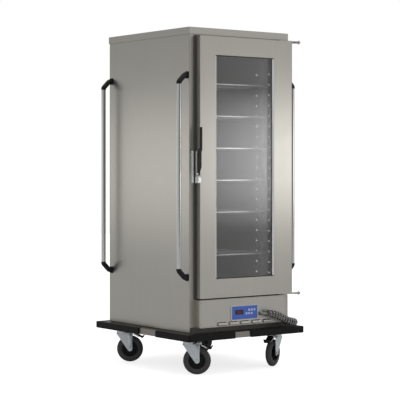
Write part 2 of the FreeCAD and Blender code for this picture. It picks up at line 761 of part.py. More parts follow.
def key(x, z):
    """Square push button with a flange behind the panel and a stem towards the board."""
    half = KEY_SIZE / 2
    rear = BOX_FRONT + MOVE_GAP
    front = BOX_FRONT - PANEL_THICK - KEY_PROUD
    cap = cut_block((x - half, x + half), (front, rear), (z - half, z + half), KEY_CORNER, Y_AXIS)
    reach = half + KEY_FLANGE
    flange = block((x - reach, x + reach), (rear, rear + KEY_FLANGE), (z - reach, z + reach))
    board = BOX_FRONT + SHEET + BOARD_BACK_OFF
    stem_x = (x - KEY_STEM / 2, x + KEY_STEM / 2)
    stem_z = (z - KEY_STEM / 2, z + KEY_STEM / 2)
    stem = block(stem_x, (rear, board - KEY_TRAVEL - MOVE_GAP), stem_z)
    return join([cap, flange, stem])


def control_board():
    """Circuit board on four spacers behind the keypad."""
    x = (PANEL_LEFT, PANEL_RIGHT)
    z = (PANEL_BOTTOM, PANEL_TOP)
    front = BOX_FRONT + SHEET
    back = front + BOARD_BACK_OFF
    pieces = [block(x, (back, back + BOARD_THICK), z)]
    for post_x in grown(x, -POST_INSET):
        for post_z in grown(z, -POST_INSET):
            pieces.append(six_sided((post_x, front, post_z), (post_x, back, post_z), POST_R))
    return join(pieces)


# ---------------------------------------------------------------- air and moisture
def fan_motor():
    """Motor on its bracket over the base pan; the long shaft rises through the cavity floor."""
    bell = Part.makeCylinder(MOTOR_D / 2, MOTOR_TOP - MOTOR_BOTTOM, Vector(0, FAN_Y, MOTOR_BOTTOM))
    top_edges = [edge for edge in bell.Edges if edge.BoundBox.ZMin > MOTOR_TOP - TOUCH]
    bell = bell.makeChamfer(MOTOR_BEVEL, top_edges)
    shaft = rod((0, FAN_Y, MOTOR_TOP - TOUCH), (0, FAN_Y, SHAFT_TOP), SHAFT / 2)
    floor = CHASSIS_TOP + SHEET
    half = MOTOR_D / 2 + BRACKET_GAP
    inner = half - BRACKET_SHEET
    tip = half + BRACKET_FOOT
    under = MOTOR_BOTTOM - BRACKET_SHEET
    sole = floor + BRACKET_SHEET
    section = [
        (-tip, 0, floor), (-inner, 0, floor), (-inner, 0, under), (inner, 0, under),
        (inner, 0, floor), (tip, 0, floor), (tip, 0, sole), (half, 0, sole),
        (half, 0, MOTOR_BOTTOM), (-half, 0, MOTOR_BOTTOM), (-half, 0, sole), (-tip, 0, sole),
    ]
    bracket = plate(section, [0] * len(section), Y_AXIS * MOTOR_D).translated(Y_AXIS * (FAN_Y - MOTOR_D / 2))
    return Part.makeCompound([join([bell, shaft]), bracket])


def impeller_blade():
    """One blade: a thin strip bent twice from the eye to the rim, leaning backwards."""
    inner_r = IMPELLER_D / 2 * EYE_SHARE
    outer_r = IMPELLER_D / 2
    spokes = ((inner_r, 0), ((inner_r + outer_r) / 2, BLADE_LEAN * BLADE_CURVE), (outer_r, BLADE_LEAN))
    lines = []
    for shift in (0.0, BLADE_SHEET):
        line = []
        for radius, lean in spokes:
            angle = math.radians(lean) + shift / radius
            line.append((radius * math.cos(angle), radius * math.sin(angle), 0))
        lines.append(line)
    outline = lines[0] + lines[1][::-1]
    return plate(outline, [0] * len(outline), Z_AXIS * (IMPELLER_H - TOUCH))


def fan_impeller():
    """Radial wheel: back plate, hub, and a ring of blades."""
    low = Vector(0, FAN_Y, IMPELLER_BOTTOM)
    pieces = [
        Part.makeCylinder(IMPELLER_D / 2 + 1, IMPELLER_PLATE, low),
        Part.makeCylinder(SHAFT / 2 + IMPELLER_HUB_WALL, IMPELLER_H, low),
    ]
    blade = impeller_blade()
    for number in range(IMPELLER_BLADES):
        turned = blade.copy()
        turned.rotate(Vector(0, 0, 0), Z_AXIS, 360 * number / IMPELLER_BLADES)
        pieces.append(turned.translated(low + Z_AXIS * TOUCH))
    bore = rod((0, FAN_Y, IMPELLER_BOTTOM - 1), (0, FAN_Y, SHAFT_TOP), SHAFT / 2 + RUN_FIT)
    return join(pieces).cut(bore)


def fan_cover():
    """Guard over the fan and the heater, with slots in its top and sides, screwed to the cavity floor."""
    x = (-COVER_W / 2, COVER_W / 2)
    y = (COVER_FRONT, COVER_BACK)
    z = (LINER_FLOOR, COVER_TOP)
    outer = cut_block(x, y, z, COVER_CORNER, Z_AXIS)
    skin = LINER_SHEET
    hollow = (z[0] - 1, z[1] - skin)
    inner = cut_block(grown(x, -skin), grown(y, -skin), hollow, COVER_CORNER - skin / 2, Z_AXIS)
    feet = block(grown(x, COVER_FOOT), grown(y, -2 * COVER_FOOT), (z[0], z[0] + skin))
    feet = feet.cut(block(x, y, grown(z, 1)))
    half_slot = COVER_SLOT / 2
    across = (COVER_FRONT + COVER_BACK) / 2
    cuts = [inner]
    for number in range(COVER_SLOTS):
        step = number - (COVER_SLOTS - 1) / 2
        offset = step * 2 * COVER_SLOT
        reach = math.sqrt(COVER_EYE_R ** 2 - offset ** 2)
        slot_y = (FAN_Y + offset - half_slot, FAN_Y + offset + half_slot)
        cuts.append(block((-reach, reach), slot_y, (z[1] - 2 * skin, z[1] + 1)))
        middle = across + step * 3 * COVER_SLOT
        cuts.append(block(grown(x, 1), (middle - half_slot, middle + half_slot), grown(z, -COVER_FOOT)))
    return join([outer.cut(cuts), feet])


def heater_element():
    """Sheathed element: an open ring round the fan whose two legs pass through the cavity floor."""
    side = HEATER_R * math.tan(math.radians(22.5))
    front = FAN_Y - HEATER_R
    back = FAN_Y + HEATER_R
    left_leg = (-HEATER_LEG_X, front, HEATER_LEG_BOTTOM)
    right_leg = (HEATER_LEG_X, front, HEATER_LEG_BOTTOM)
    points = [
        left_leg, (-HEATER_LEG_X, front, HEATER_Z), (-side, front, HEATER_Z),
        (-HEATER_R, FAN_Y - side, HEATER_Z), (-HEATER_R, FAN_Y + side, HEATER_Z), (-side, back, HEATER_Z),
        (side, back, HEATER_Z), (HEATER_R, FAN_Y + side, HEATER_Z), (HEATER_R, FAN_Y - side, HEATER_Z),
        (side, front, HEATER_Z), (HEATER_LEG_X, front, HEATER_Z), right_leg,
    ]
    pieces = [mitred_bar(points, HEATER_D / 2, HEATER_SIDES)]
    for x, y, _ in (left_leg, right_leg):
        pieces.append(six_sided((x, y, LINER_FLOOR), (x, y, LINER_FLOOR + HEATER_NUT_H), HEATER_D))
    return join(pieces)


def water_pan():
    """Humidity pan with a flat rim, standing on the cavity floor."""
    x = (-PAN_W / 2, PAN_W / 2)
    y = (PAN_FRONT, PAN_BACK)
    z = (LINER_FLOOR, LINER_FLOOR + PAN_H)
    skin = LINER_SHEET
    outer = cut_block(x, y, z, PAN_CORNER, Z_AXIS)
    corner_cut = PAN_CORNER + PAN_RIM / 2
    rim = cut_block(grown(x, PAN_RIM), grown(y, PAN_RIM), (z[1] - skin, z[1]), corner_cut, Z_AXIS)
    hollow = (z[0] + skin, z[1] + 1)
    inner = cut_block(grown(x, -skin), grown(y, -skin), hollow, PAN_CORNER - skin / 2, Z_AXIS)
    return join([outer, rim]).cut(inner)


# ---------------------------------------------------------------- base
def caster_plate(x, y):
    """Fixed plate with the kingpin that the fork turns on."""
    length, width, thick = CASTER_PLATE
    top = BUMPER_BOTTOM
    plate_x = (x - length / 2, x + length / 2)
    plate_y = (y - width / 2, y + width / 2)
    pad = cut_block(plate_x, plate_y, (top - thick, top), CASTER_PLATE_CORNER, Z_AXIS)
    head_top = FORK_TOP - FORK_SHEET - MOVE_GAP
    pin = rod((x, y, head_top - TOUCH), (x, y, top - thick), KINGPIN / 2)
    head = six_sided((x, y, head_top - KINGPIN_HEAD_H), (x, y, head_top), KINGPIN * 0.9)
    return join([pad, pin, head])


def chassis_frame():
    """Steel pan under the body, two cross channels, and the four plates that carry the casters."""
    x = (-CHASSIS_X, CHASSIS_X)
    y = (CHASSIS_FRONT, CHASSIS_REAR)
    z = (BUMPER_BOTTOM + CHASSIS_RIM_LIFT, CHASSIS_TOP)
    under = z[1] - CHASSIS_SHEET
    outer = cut_block(x, y, z, BUMPER_R - BUMPER_RUBBER, Z_AXIS)
    inside_x = grown(x, -CHASSIS_SHEET)
    inside_y = grown(y, -CHASSIS_SHEET)
    pan = outer.cut(cut_block(inside_x, inside_y, (z[0] - 1, under), BUMPER_R - BUMPER_RUBBER, Z_AXIS))
    channels = []
    half = CHANNEL_LENGTH / 2
    for middle in (CASTER_FRONT_Y, CASTER_REAR_Y):
        across = (middle - CHANNEL_W / 2, middle + CHANNEL_W / 2)
        channel = block((-half, half), across, (BUMPER_BOTTOM, under))
        hollow_z = (BUMPER_BOTTOM + CHANNEL_SHEET, under + 1)
        channels.append(channel.cut(block((-half - 1, half + 1), grown(across, -CHANNEL_SHEET), hollow_z)))
    plates = []
    for side, place, _ in CASTERS.values():
        plates.append(caster_plate(side * (HALF_W - CASTER_INSET), place))
    return Part.makeCompound([join([pan] + channels)] + plates)


def bumper_corners():
    """Four rubber corners that wrap the rim of the chassis; steel shows between them."""
    x = (-BUMPER_W / 2, BUMPER_W / 2)
    y = (-BUMPER_FRONT, BODY_D + BUMPER_REAR)
    body = rounded_block(x, y, (BUMPER_BOTTOM, BUMPER_TOP), BUMPER_R, Z_AXIS)
    rims = [edge for edge in body.Edges if abs(edge.BoundBox.ZMax - edge.BoundBox.ZMin) < TOUCH]
    body = body.makeChamfer(BUMPER_LIP_H, rims)
    below = BUMPER_BOTTOM - 1
    wrap = BUMPER_RUBBER
    chassis = cut_block(grown(x, -wrap), grown(y, -wrap), (below, CHASSIS_TOP), BUMPER_R - wrap, Z_AXIS)
    inside = block(grown(x, -BUMPER_LIP), grown(y, -BUMPER_LIP), (below, BUMPER_TOP + 1))
    band = body.cut([chassis, inside])
    full = 2 * BUMPER_W
    height = (0, 2 * BUMPER_TOP)
    gaps = [block(FRONT_STRIP, (-full, full), height), block((-full, full), SIDE_STRIP, height)]
    return band.cut(gaps)


def caster_frames():
    """Kingpin place and turn of each caster."""
    frames = {}
    for name, (side, y, angle) in CASTERS.items():
        frames[name] = (Vector(side * (HALF_W - CASTER_INSET), y, 0), angle)
    return frames


def placed(shape, kingpin, angle):
    """Moves a caster piece, made with its kingpin on the Z axis and its trail along +X."""
    moved = shape.copy()
    moved.rotate(Vector(0, 0, 0), Z_AXIS, angle)
    moved.translate(kingpin)
    return moved


def fork_side(inner):
    """One tapered side plate of the fork, from its inner face outwards."""
    axle_z = WHEEL_D / 2
    end_x = CASTER_TRAIL + FORK_END_R
    slope = math.atan2(FORK_TOP - axle_z, CASTER_TRAIL + FORK_NOSE)
    nose = Vector(-FORK_NOSE, inner, FORK_TOP)
    tail = Vector(FORK_TAIL, inner, FORK_TOP)
    touch = Vector(CASTER_TRAIL - FORK_END_R * math.sin(slope), inner, axle_z - FORK_END_R * math.cos(slope))
    low = Vector(CASTER_TRAIL, inner, axle_z - FORK_END_R)
    end = Vector(end_x, inner, axle_z)
    outline = [
        Part.LineSegment(nose, touch).toShape(), Part.Arc(touch, low, end).toShape(),
        Part.LineSegment(end, tail).toShape(), Part.LineSegment(tail, nose).toShape(),
    ]
    return Part.Face(Part.Wire(outline)).extrude(Y_AXIS * FORK_SHEET)


def fork_rib(inner):
    """Raised middle of a side plate, tapering with it and ending above the axle."""
    low = WHEEL_D / 2 + AXLE_HEAD
    shoulder = CASTER_TRAIL - FORK_END_R / 2
    outline = [
        (RIB_INSET - FORK_NOSE, inner, FORK_TOP - RIB_INSET), (shoulder, inner, low),
        (CASTER_TRAIL + FORK_END_R / 2, inner, low), (FORK_TAIL - RIB_INSET, inner, FORK_TOP - RIB_INSET),
    ]
    return plate(outline, [0] * len(outline), Y_AXIS * RIB_H)


def swivel_race():
    """Ball race housing on the crown, just clear of the caster plate."""
    top = BUMPER_BOTTOM - CASTER_PLATE[2] - MOVE_GAP
    return Part.makeCylinder(RACE_R, top - FORK_TOP + TOUCH, Vector(0, 0, FORK_TOP - TOUCH))


def caster_fork():
    """Pressed fork: crown, ball race, two side plates with a raised rib, and the axle bolt."""
    gap = (HUB_LENGTH + FORK_GAP) / 2
    outside = gap + FORK_SHEET
    crown_z = (FORK_TOP - FORK_SHEET, FORK_TOP)
    crown = cut_block((-FORK_NOSE, FORK_TAIL), (-outside, outside), crown_z, FORK_SHEET, Z_AXIS)
    pieces = [crown, swivel_race(), fork_side(gap), fork_side(-outside)]
    pieces += [fork_rib(outside - TOUCH), fork_rib(TOUCH - outside - RIB_H)]
    axle_z = WHEEL_D / 2
    head = outside + AXLE_HEAD_H
    pieces.append(rod((CASTER_TRAIL, -outside, axle_z), (CASTER_TRAIL, outside, axle_z), AXLE / 2))
    ear = PEDAL_W / 2 - EAR_INSET
    ear_points = [
        (FORK_TAIL - EAR_LENGTH, 0, FORK_TOP - TOUCH),
        (PEDAL_PIVOT + EAR_R, 0, PEDAL_PIVOT_Z - EAR_R),
        (PEDAL_PIVOT + EAR_R, 0, PEDAL_PIVOT_Z + EAR_R),
        (FORK_TAIL - EAR_LENGTH, 0, PEDAL_PIVOT_Z + EAR_R / 2),
    ]
    for side in (-1, 1):
        bolt = [(CASTER_TRAIL, side * reach, axle_z) for reach in (outside - TOUCH, head)]
        pieces.append(six_sided(bolt[0], bolt[1], AXLE_HEAD / 2))
        ear_plate = plate(ear_points, [0] * len(ear_points), Y_AXIS * FORK_SHEET)
        pieces.append(ear_plate.translated(Y_AXIS * (side * ear - FORK_SHEET / 2)))
    pieces.append(rod((PEDAL_PIVOT, -ear, PEDAL_PIVOT_Z), (PEDAL_PIVOT, ear, PEDAL_PIVOT_Z), PEDAL_PIN / 2))
    bore = rod((0, 0, FORK_TOP - FORK_SHEET - 1), (0, 0, BUMPER_BOTTOM), KINGPIN / 2 + RUN_FIT)
    return join(pieces).cut(bore)


def turned(section, sides):
    """Many-sided solid turned about Y from a closed section of points given as radius and reach."""
    rings = []
    for step in range(sides):
        angle = math.radians(360) * (step + 0.5) / sides
        rings.append([Vector(r * math.cos(angle), reach, r * math.sin(angle)) for r, reach in section])
    faces = []
    for here, after in zip(rings, rings[1:] + rings[:1]):
        for first in range(len(section)):
            second = (first + 1) % len(section)
            corners = [here[first]]
            for point in (here[second], after[second], after[first]):
                if point.distanceToPoint(corners[-1]) > TOUCH and point.distanceToPoint(corners[0]) > TOUCH:
                    corners.append(point)
            if len(corners) > 2:
                faces.append(flat_face(corners))
    solid = Part.Solid(Part.Shell(faces))
    if solid.Volume < 0:
        solid.reverse()
    return solid


def on_axle(solid):
    """Wheel piece carried from the origin to the axle."""
    return solid.translated(Vector(CASTER_TRAIL, 0, WHEEL_D / 2))


def both_sides(half_section):
    """A section given for one side of the wheel, with its mirror image."""
    return half_section + [(radius, -side) for radius, side in reversed(half_section)]


def caster_hub():
    """Plastic wheel centre: a flat web, and a longer boss with the axle's bore."""
    web = [(0, HUB_WEB / 2), (TYRE_INNER_D / 2, HUB_WEB / 2)]
    boss = rod((0, -HUB_LENGTH / 2, 0), (0, HUB_LENGTH / 2, 0), HUB_BOSS / 2)
    bore = rod((0, -HUB_LENGTH, 0), (0, HUB_LENGTH, 0), HUB_BORE / 2)
    return on_axle(join([turned(both_sides(web), WHEEL_SIDES), boss]).cut(bore))


def caster_tyre():
    """Rubber tyre with sloping shoulders."""
    rim = TYRE_INNER_D / 2
    tread = WHEEL_D / 2
    half = WHEEL_W / 2
    section = [(rim, half - TYRE_LAP / 2), (tread - TYRE_SHOULDER, half), (tread, half - TYRE_SHOULDER)]
    return on_axle(turned(both_sides(section), WHEEL_SIDES))


def caster_pedal():
    """Brake pedal: a dished foot plate on a hub that turns on the fork's pin."""
    half = PEDAL_W / 2
    inner = half - EAR_INSET - FORK_SHEET / 2 - MOVE_GAP
    z = PEDAL_PIVOT_Z
    start = PEDAL_PIVOT + PEDAL_PIN + 3 * FORK_SHEET / 2
    bend = start + PEDAL_BEND * (PEDAL_REACH - start)
    tip_z = z - PEDAL_TIP_DROP
    outline = [
        (start, -half, z - PEDAL_THICK / 2), (bend, -half, z - PEDAL_DIP),
        (PEDAL_REACH, -half, tip_z - PEDAL_TIP), (PEDAL_REACH, -half, tip_z),
        (bend, -half, z - PEDAL_DIP + PEDAL_THICK), (start, -half, z + PEDAL_THICK / 2),
    ]
    pad = plate(outline, [0] * len(outline), Y_AXIS * PEDAL_W)
    barrel = rod((PEDAL_PIVOT, -inner, z), (PEDAL_PIVOT, inner, z), PEDAL_PIN)
    neck_z = (z - PEDAL_PIN / 2, z + PEDAL_PIN / 2)
    neck = block((PEDAL_PIVOT + PEDAL_PIN / 2 + 1, start + 1), (-inner, inner), neck_z)
    bore = rod((PEDAL_PIVOT, -half, z), (PEDAL_PIVOT, half, z), PEDAL_PIN / 2 + RUN_FIT)
    return join([barrel, neck, pad]).cut(bore)


# ---------------------------------------------------------------- handles
def handle_places():
    return [(x, y) for x in (-1, 1) for y in (HANDLE_INSET, BODY_D - HANDLE_INSET)]


def handle_tubes():
    tubes = []
    for side, y in handle_places():
        x = side * (HALF_W + HANDLE_OFF)
        foot, head = HANDLE_BOTTOM + ELBOW_DROP, HANDLE_TOP - ELBOW_DROP
        tubes.append(rod((x, y, foot), (x, y, head), HANDLE_TUBE / 2))
    return Part.makeCompound(tubes)


def handle_elbow():
    """Upper left elbow at the origin's height: a round arm from the foot on the panel down to the tube."""
    face = -HALF_W
    out = face - HANDLE_OFF
    arm_r = ELBOW_D / 2
    arm = mitred_bar(
        [(face - TOUCH, 0, 0), (out + ELBOW_SLANT, 0, 0), (out, 0, -ELBOW_SLANT), (out, 0, -ELBOW_DROP)],
        arm_r, ELBOW_SIDES)
    half = ELBOW_FOOT_H / 2
    foot = cut_block((face - ELBOW_FOOT_T, face), (-arm_r - 1, arm_r + 1), (-half, half), arm_r / 2, X_AXIS)
    return join([arm, foot])


def handle_elbows():
    upper = handle_elbow()
    lower = upper.mirror(Vector(0, 0, 0), Z_AXIS)
    elbows = []
    for side, y in handle_places():
        for elbow, z in ((upper, HANDLE_TOP), (lower, HANDLE_BOTTOM)):
            piece = elbow if side < 0 else mirrored(elbow)
            elbows.append(piece.translated(Vector(0, y, z)))
    return Part.makeCompound(elbows)


# ---------------------------------------------------------------- door
def door_limits():
    return (DOOR_LEFT, DOOR_RIGHT), (DOOR_BOTTOM, DOOR_TOP)


def window_limits():
    return (WINDOW_LEFT, WINDOW_RIGHT), (WINDOW_BOTTOM, WINDOW_TOP)


def door_skin():
    """Outer pan of the door with the window cut out of its face."""
    x, z = door_limits()
    outer = block(x, (DOOR_FRONT, DOOR_BACK - SKIN_SHORT), z)
    edges = [edge for edge in outer.Edges if edge.BoundBox.YMax < DOOR_FRONT + TOUCH]
    outer = outer.makeChamfer(SHEET, edges)
    inner = block(grown(x, -SHEET), (DOOR_FRONT + SHEET, DOOR_BACK), grown(z, -SHEET))
    window_x, window_z = window_limits()
    window = rounded_block(window_x, (DOOR_FRONT - 1, DOOR_FRONT + SHEET + 1), window_z, WINDOW_R, Y_AXIS)
    return outer.cut(inner).cut(window)


def glass_depths():
    """Front and back of the glazing pocket, and of each pane."""
    pocket = DOOR_FRONT + SHEET
    outer = (pocket + GLASS_FRONT_LIP, pocket + GLASS_FRONT_LIP + GLASS)
    inner = (outer[1] + GLASS_SPACE, outer[1] + GLASS_SPACE + GLASS)
    return pocket, outer, inner, inner[1] + GLASS_FRONT_LIP


def gasket_limits():
    """Outer edge of the gasket: it covers the middle of the breaker strip."""
    edge = STRIP_W / 2 + GASKET_W / 2
    wall = SHEET + 2 * PAN_SHEET
    x = grown((-HALF_OPENING, HALF_OPENING), edge)
    x = (max(x[0], DOOR_LEFT + wall), min(x[1], DOOR_RIGHT - wall))
    z = (max(OPENING_BOTTOM - edge, DOOR_BOTTOM + wall), min(OPENING_TOP + edge, DOOR_TOP - wall))
    return x, z


def door_pan():
    """Inner pan of the door: sheet walls round a hollow ring, the glazing pocket and the gasket's groove."""
    x, z = door_limits()
    x = grown(x, -SHEET)
    z = grown(z, -SHEET)
    window_x, window_z = window_limits()
    front, _, _, pocket_back = glass_depths()
    body = block(x, (front, DOOR_BACK), z)
    pocket_x = grown(window_x, GLASS_GRIP)
    pocket_z = grown(window_z, GLASS_GRIP)
    pocket = cut_block(pocket_x, (front - 1, pocket_back), pocket_z, GLASS_CORNER, Y_AXIS)
    window = cut_block(window_x, (front - 1, DOOR_BACK + 1), window_z, GLASS_CORNER, Y_AXIS)
    gasket_x, gasket_z = gasket_limits()
    inside_x = grown(gasket_x, -GASKET_W)
    inside_z = grown(gasket_z, -GASKET_W)
    floor = DOOR_BACK - GASKET_GROOVE
    groove = ring(gasket_x, gasket_z, inside_x, inside_z, (floor, DOOR_BACK + 1), GASKET_CORNER, 0)
    wall = PAN_SHEET
    hollow = ring(
        grown(x, -wall), grown(z, -wall), grown(pocket_x, wall), grown(pocket_z, wall),
        (front - 1, floor - wall), 0, 0)
    deep = ring(
        grown(inside_x, -wall), grown(inside_z, -wall), grown(pocket_x, wall), grown(pocket_z, wall),
        (front, DOOR_BACK - wall), 0, 0)
    return body.cut([pocket, window, groove, hollow, deep])


def pane_block(y):
    window_x, window_z = window_limits()
    hold = GLASS_GRIP - PANE_PLAY
    return cut_block(grown(window_x, hold), y, grown(window_z, hold), GLASS_CORNER, Y_AXIS)


def window_panes():
    _, outer, inner, _ = glass_depths()
    return Part.makeCompound([pane_block(outer), pane_block(inner)])


def window_bead():
    """Rubber glazing ring that fills the pocket and holds both panes by their edges."""
    x, z = window_limits()
    front, outer, inner, back = glass_depths()
    frame = ring(
        grown(x, GLASS_GRIP), grown(z, GLASS_GRIP), grown(x, -BEAD_SHOWS), grown(z, -BEAD_SHOWS),
        (front, back), GLASS_CORNER, GLASS_CORNER)
    return frame.cut([pane_block(outer), pane_block(inner)])


def door_gasket():
    """Soft seal in the door's groove; it stops just short of the breaker strip."""
    x, z = gasket_limits()
    y = (DOOR_BACK - GASKET_GROOVE, -STRIP_PROUD - MOVE_GAP)
    return ring(x, z, grown(x, -GASKET_W), grown(z, -GASKET_W), y, GASKET_CORNER, 0)


def hinge_arms():
    """Flat arms on the top and bottom edges of the door, with an eye for the hinge pin."""
    arms = []
    near = HINGE_Y - HINGE_ARM_W / 2
    far = HINGE_Y + HINGE_ARM_W / 3
    start = DOOR_RIGHT - HINGE_ARM_ON_DOOR
    for low in (DOOR_TOP, DOOR_BOTTOM - HINGE_PLATE):
        points = [
            (start, near, low), (DOOR_RIGHT, near, low), (HINGE_X, HINGE_Y - HINGE_EYE_R, low),
            (HINGE_X, HINGE_Y + HINGE_EYE_R, low), (DOOR_RIGHT, far, low), (start, far, low),
        ]
        arm = plate(points, [0] * len(points), Z_AXIS * HINGE_PLATE)
        eye = rod((HINGE_X, HINGE_Y, low), (HINGE_X, HINGE_Y, low + HINGE_PLATE), HINGE_EYE_R)
        above = (HINGE_X, HINGE_Y, low + HINGE_PLATE + 1)
        bore = rod((HINGE_X, HINGE_Y, low - 1), above, HINGE_PIN / 2 + RUN_FIT)
        arms.append(join([arm, eye]).cut(bore))
    return Part.makeCompound(arms)


def hinge_bracket(low, leaf, pin):
    """Leaf on the right side panel, an arm out to the hinge line, and the pin."""
    wall = cut_block((HALF_W, HALF_W + HINGE_LEAF_T), HINGE_LEAF_Y, leaf, HINGE_LEAF_T, X_AXIS)
    tangent = HINGE_EYE_R * math.sqrt(0.5)
    root = HALF_W + HINGE_LEAF_T / 2
    leaf_y = grown(HINGE_LEAF_Y, -HINGE_LEAF_T / 2)
    points = [
        (root, leaf_y[0], low), (HINGE_X - tangent, HINGE_Y - tangent, low),
        (HINGE_X + tangent, HINGE_Y + tangent, low), (root, leaf_y[1], low),
    ]
    arm = plate(points, [0] * len(points), Z_AXIS * HINGE_PLATE)
    eye = rod((HINGE_X, HINGE_Y, low), (HINGE_X, HINGE_Y, low + HINGE_PLATE), HINGE_EYE_R)
    stem = rod((HINGE_X, HINGE_Y, pin[0]), (HINGE_X, HINGE_Y, pin[1]), HINGE_PIN / 2)
    return join([wall, arm, eye, stem])


def hinge_brackets():
    """Top and bottom brackets, each just under the door's hinge arm, with the pin standing up through it."""
    brackets = []
    for arm_low, hangs in ((DOOR_TOP, True), (DOOR_BOTTOM - HINGE_PLATE, False)):
        low = arm_low - MOVE_GAP - HINGE_PLATE
        top = low + HINGE_PLATE
        leaf = (top - HINGE_LEAF_H, top) if hangs else (low, low + HINGE_LEAF_H)
        pin = (low - HINGE_PIN_END, arm_low + HINGE_PLATE + HINGE_PIN_END)
        brackets.append(hinge_bracket(low, leaf, pin))
    return Part.makeCompound(brackets)


def latch_keeper():
    """Strike bar on the body's front flange."""
    x = (KEEPER_LEFT, KEEPER_LEFT + KEEPER_W)
    bar = cut_block(x, (-KEEPER_THICK, 0), (LATCH_BOTTOM, LATCH_TOP), KEEPER_W / 4, Y_AXIS)
    edges = [edge for edge in bar.Edges if edge.BoundBox.YMax < -KEEPER_THICK + TOUCH]
    return bar.makeChamfer(KEEPER_BEVEL, edges)


def latch_body():
    """Plate on the door's edge with a rear rib, a lower boss and the lever's pin."""
    face = DOOR_LEFT
    outer = face - LATCH_PLATE
    height = (LATCH_BOTTOM, LATCH_TOP)
    base = cut_block((outer, face), (DOOR_FRONT + 1, DOOR_BACK - LATCH_PLATE), height, LATCH_PLATE, X_AXIS)
    rib = block((outer - LATCH_RIB_H, outer), LATCH_RIB_Y, grown(height, -LATCH_PLATE))
    boss_z = (LATCH_BOTTOM, LATCH_BOTTOM + LATCH_BOSS_H)
    boss_y = (DOOR_FRONT - LATCH_BOSS_PROUD, LATCH_RIB_Y[1])
    boss = cut_block((outer - LEVER_CHEEK - MOVE_GAP, face), boss_y, boss_z, LATCH_PLATE, X_AXIS)
    pin_end = outer - LEVER_CHEEK - 2 * MOVE_GAP
    stem = lever_axis(outer + TOUCH, pin_end, LEVER_PIN / 2)
    head_end = pin_end - LEVER_PIN / 3
    middle = (LEVER_PIVOT_Y, LEVER_PIVOT_Z)
    head = six_sided((pin_end + TOUCH, *middle), (head_end, *middle), LEVER_PIN * 0.9)
    return join([base, rib, boss, stem, head])


def lever_axis(start_x, end_x, radius):
    """Round bar on the lever's pivot line."""
    return rod((start_x, LEVER_PIVOT_Y, LEVER_PIVOT_Z), (end_x, LEVER_PIVOT_Y, LEVER_PIVOT_Z), radius)


def latch_lever():
    """Pull lever: a flat cheek on the pin that widens into an upright grip in front of the door."""
    right = DOOR_LEFT - LATCH_PLATE - MOVE_GAP
    left = right - LEVER_CHEEK
    end = LEVER_END_R
    y = LEVER_PIVOT_Y
    z = LEVER_PIVOT_Z
    grip_back = LEVER_FRONT + LEVER_GRIP_T
    throat = LEVER_SHOULDER + LEVER_THROAT
    outline = [
        (left, y + end / 2, z - end), (left, y + end, z - end / 2),
        (left, LEVER_BACK, LEVER_SHOULDER - LEVER_THROAT),
        (left, LEVER_BACK - LEVER_THROAT / 3, LEVER_SHOULDER), (left, grip_back, throat),
        (left, LEVER_FRONT, throat), (left, LEVER_FRONT, z + LEVER_KNEE), (left, y - end, z + end),
        (left, y - end, z - end / 2), (left, y - end / 2, z - end),
    ]
    cheek = plate(outline, [0] * len(outline), X_AXIS * LEVER_CHEEK)
    grip_z = (LEVER_SHOULDER - LEVER_THROAT / 3, LEVER_TOP)
    grip = cut_block((left, left + LEVER_GRIP_W), (LEVER_FRONT, grip_back), grip_z, LEVER_GRIP_CUT, Y_AXIS)
    front = [edge for edge in grip.Edges if edge.BoundBox.YMax < LEVER_FRONT + TOUCH]
    grip = grip.makeChamfer(LEVER_GRIP_CUT / 2, front)
    return join([cheek, grip]).cut(lever_axis(left - 1, right + 1, LEVER_PIN / 2 + RUN_FIT))


# ---------------------------------------------------------------- cord
def cord_gland():
    """Cable gland in the control box's face with an angled boot that turns into the cord's first run."""
    nut = six_sided((GLAND_X, BOX_FRONT - GLAND_NUT, GLAND_Z), (GLAND_X, BOX_FRONT, GLAND_Z), GLAND_R)
    thread_end = (GLAND_X, BOX_FRONT + SHEET + GLAND_NUT, GLAND_Z)
    thread = six_sided((GLAND_X, BOX_FRONT - TOUCH, GLAND_Z), thread_end, GLAND_THREAD_R - RUN_FIT)
    end = Vector(*CURL_POINTS[0])
    along = Vector(*CURL_POINTS[1]).sub(end).normalize()
    route = [
        (GLAND_X, BOX_FRONT - TOUCH, GLAND_Z), (GLAND_X, BOX_FRONT - GLAND_BEND * 2 / 3, GLAND_Z),
        tuple(end.sub(along * (GLAND_BEND / 2))), tuple(end),
    ]
    return join([nut, thread, mitred_bar(route, GLAND_BOOT_R, BOOT_SIDES)])


def curl_radii(points):
    """Radius of each bend: 0.45 of the shorter run beside it, over the tangent of half the turn."""
    corners = [Vector(*point) for point in points]
    radii = [0]
    for before, here, after in zip(corners, corners[1:], corners[2:]):
        into = here.sub(before)
        out = after.sub(here)
        half_turn = into.getAngle(out) / 2
        radii.append(0.45 * min(into.Length, out.Length) / math.tan(half_turn))
    return radii + [0]


def many_sided_tube(route, radius, sides):
    """Solid along a wire of straight runs and arcs, with a regular polygon as its section."""
    first = route.Edges[0]
    start = first.valueAt(first.FirstParameter)
    section = flat_face(polygon_ring(start, first.tangentAt(first.FirstParameter), radius, sides))
    pieces = []
    for edge in route.Edges:
        begin = edge.valueAt(edge.FirstParameter)
        end = edge.valueAt(edge.LastParameter)
        if isinstance(edge.Curve, Part.Line):
            pieces.append(section.extrude(end.sub(begin)))
            section = section.translated(end.sub(begin))
        else:
            centre = edge.Curve.Center
            axis = begin.sub(centre).cross(end.sub(centre)).normalize()
            turn = math.degrees(edge.Length / edge.Curve.Radius)
            pieces.append(section.revolve(centre, axis, turn))
            section = section.rotated(centre, axis, turn)
    return join(pieces)


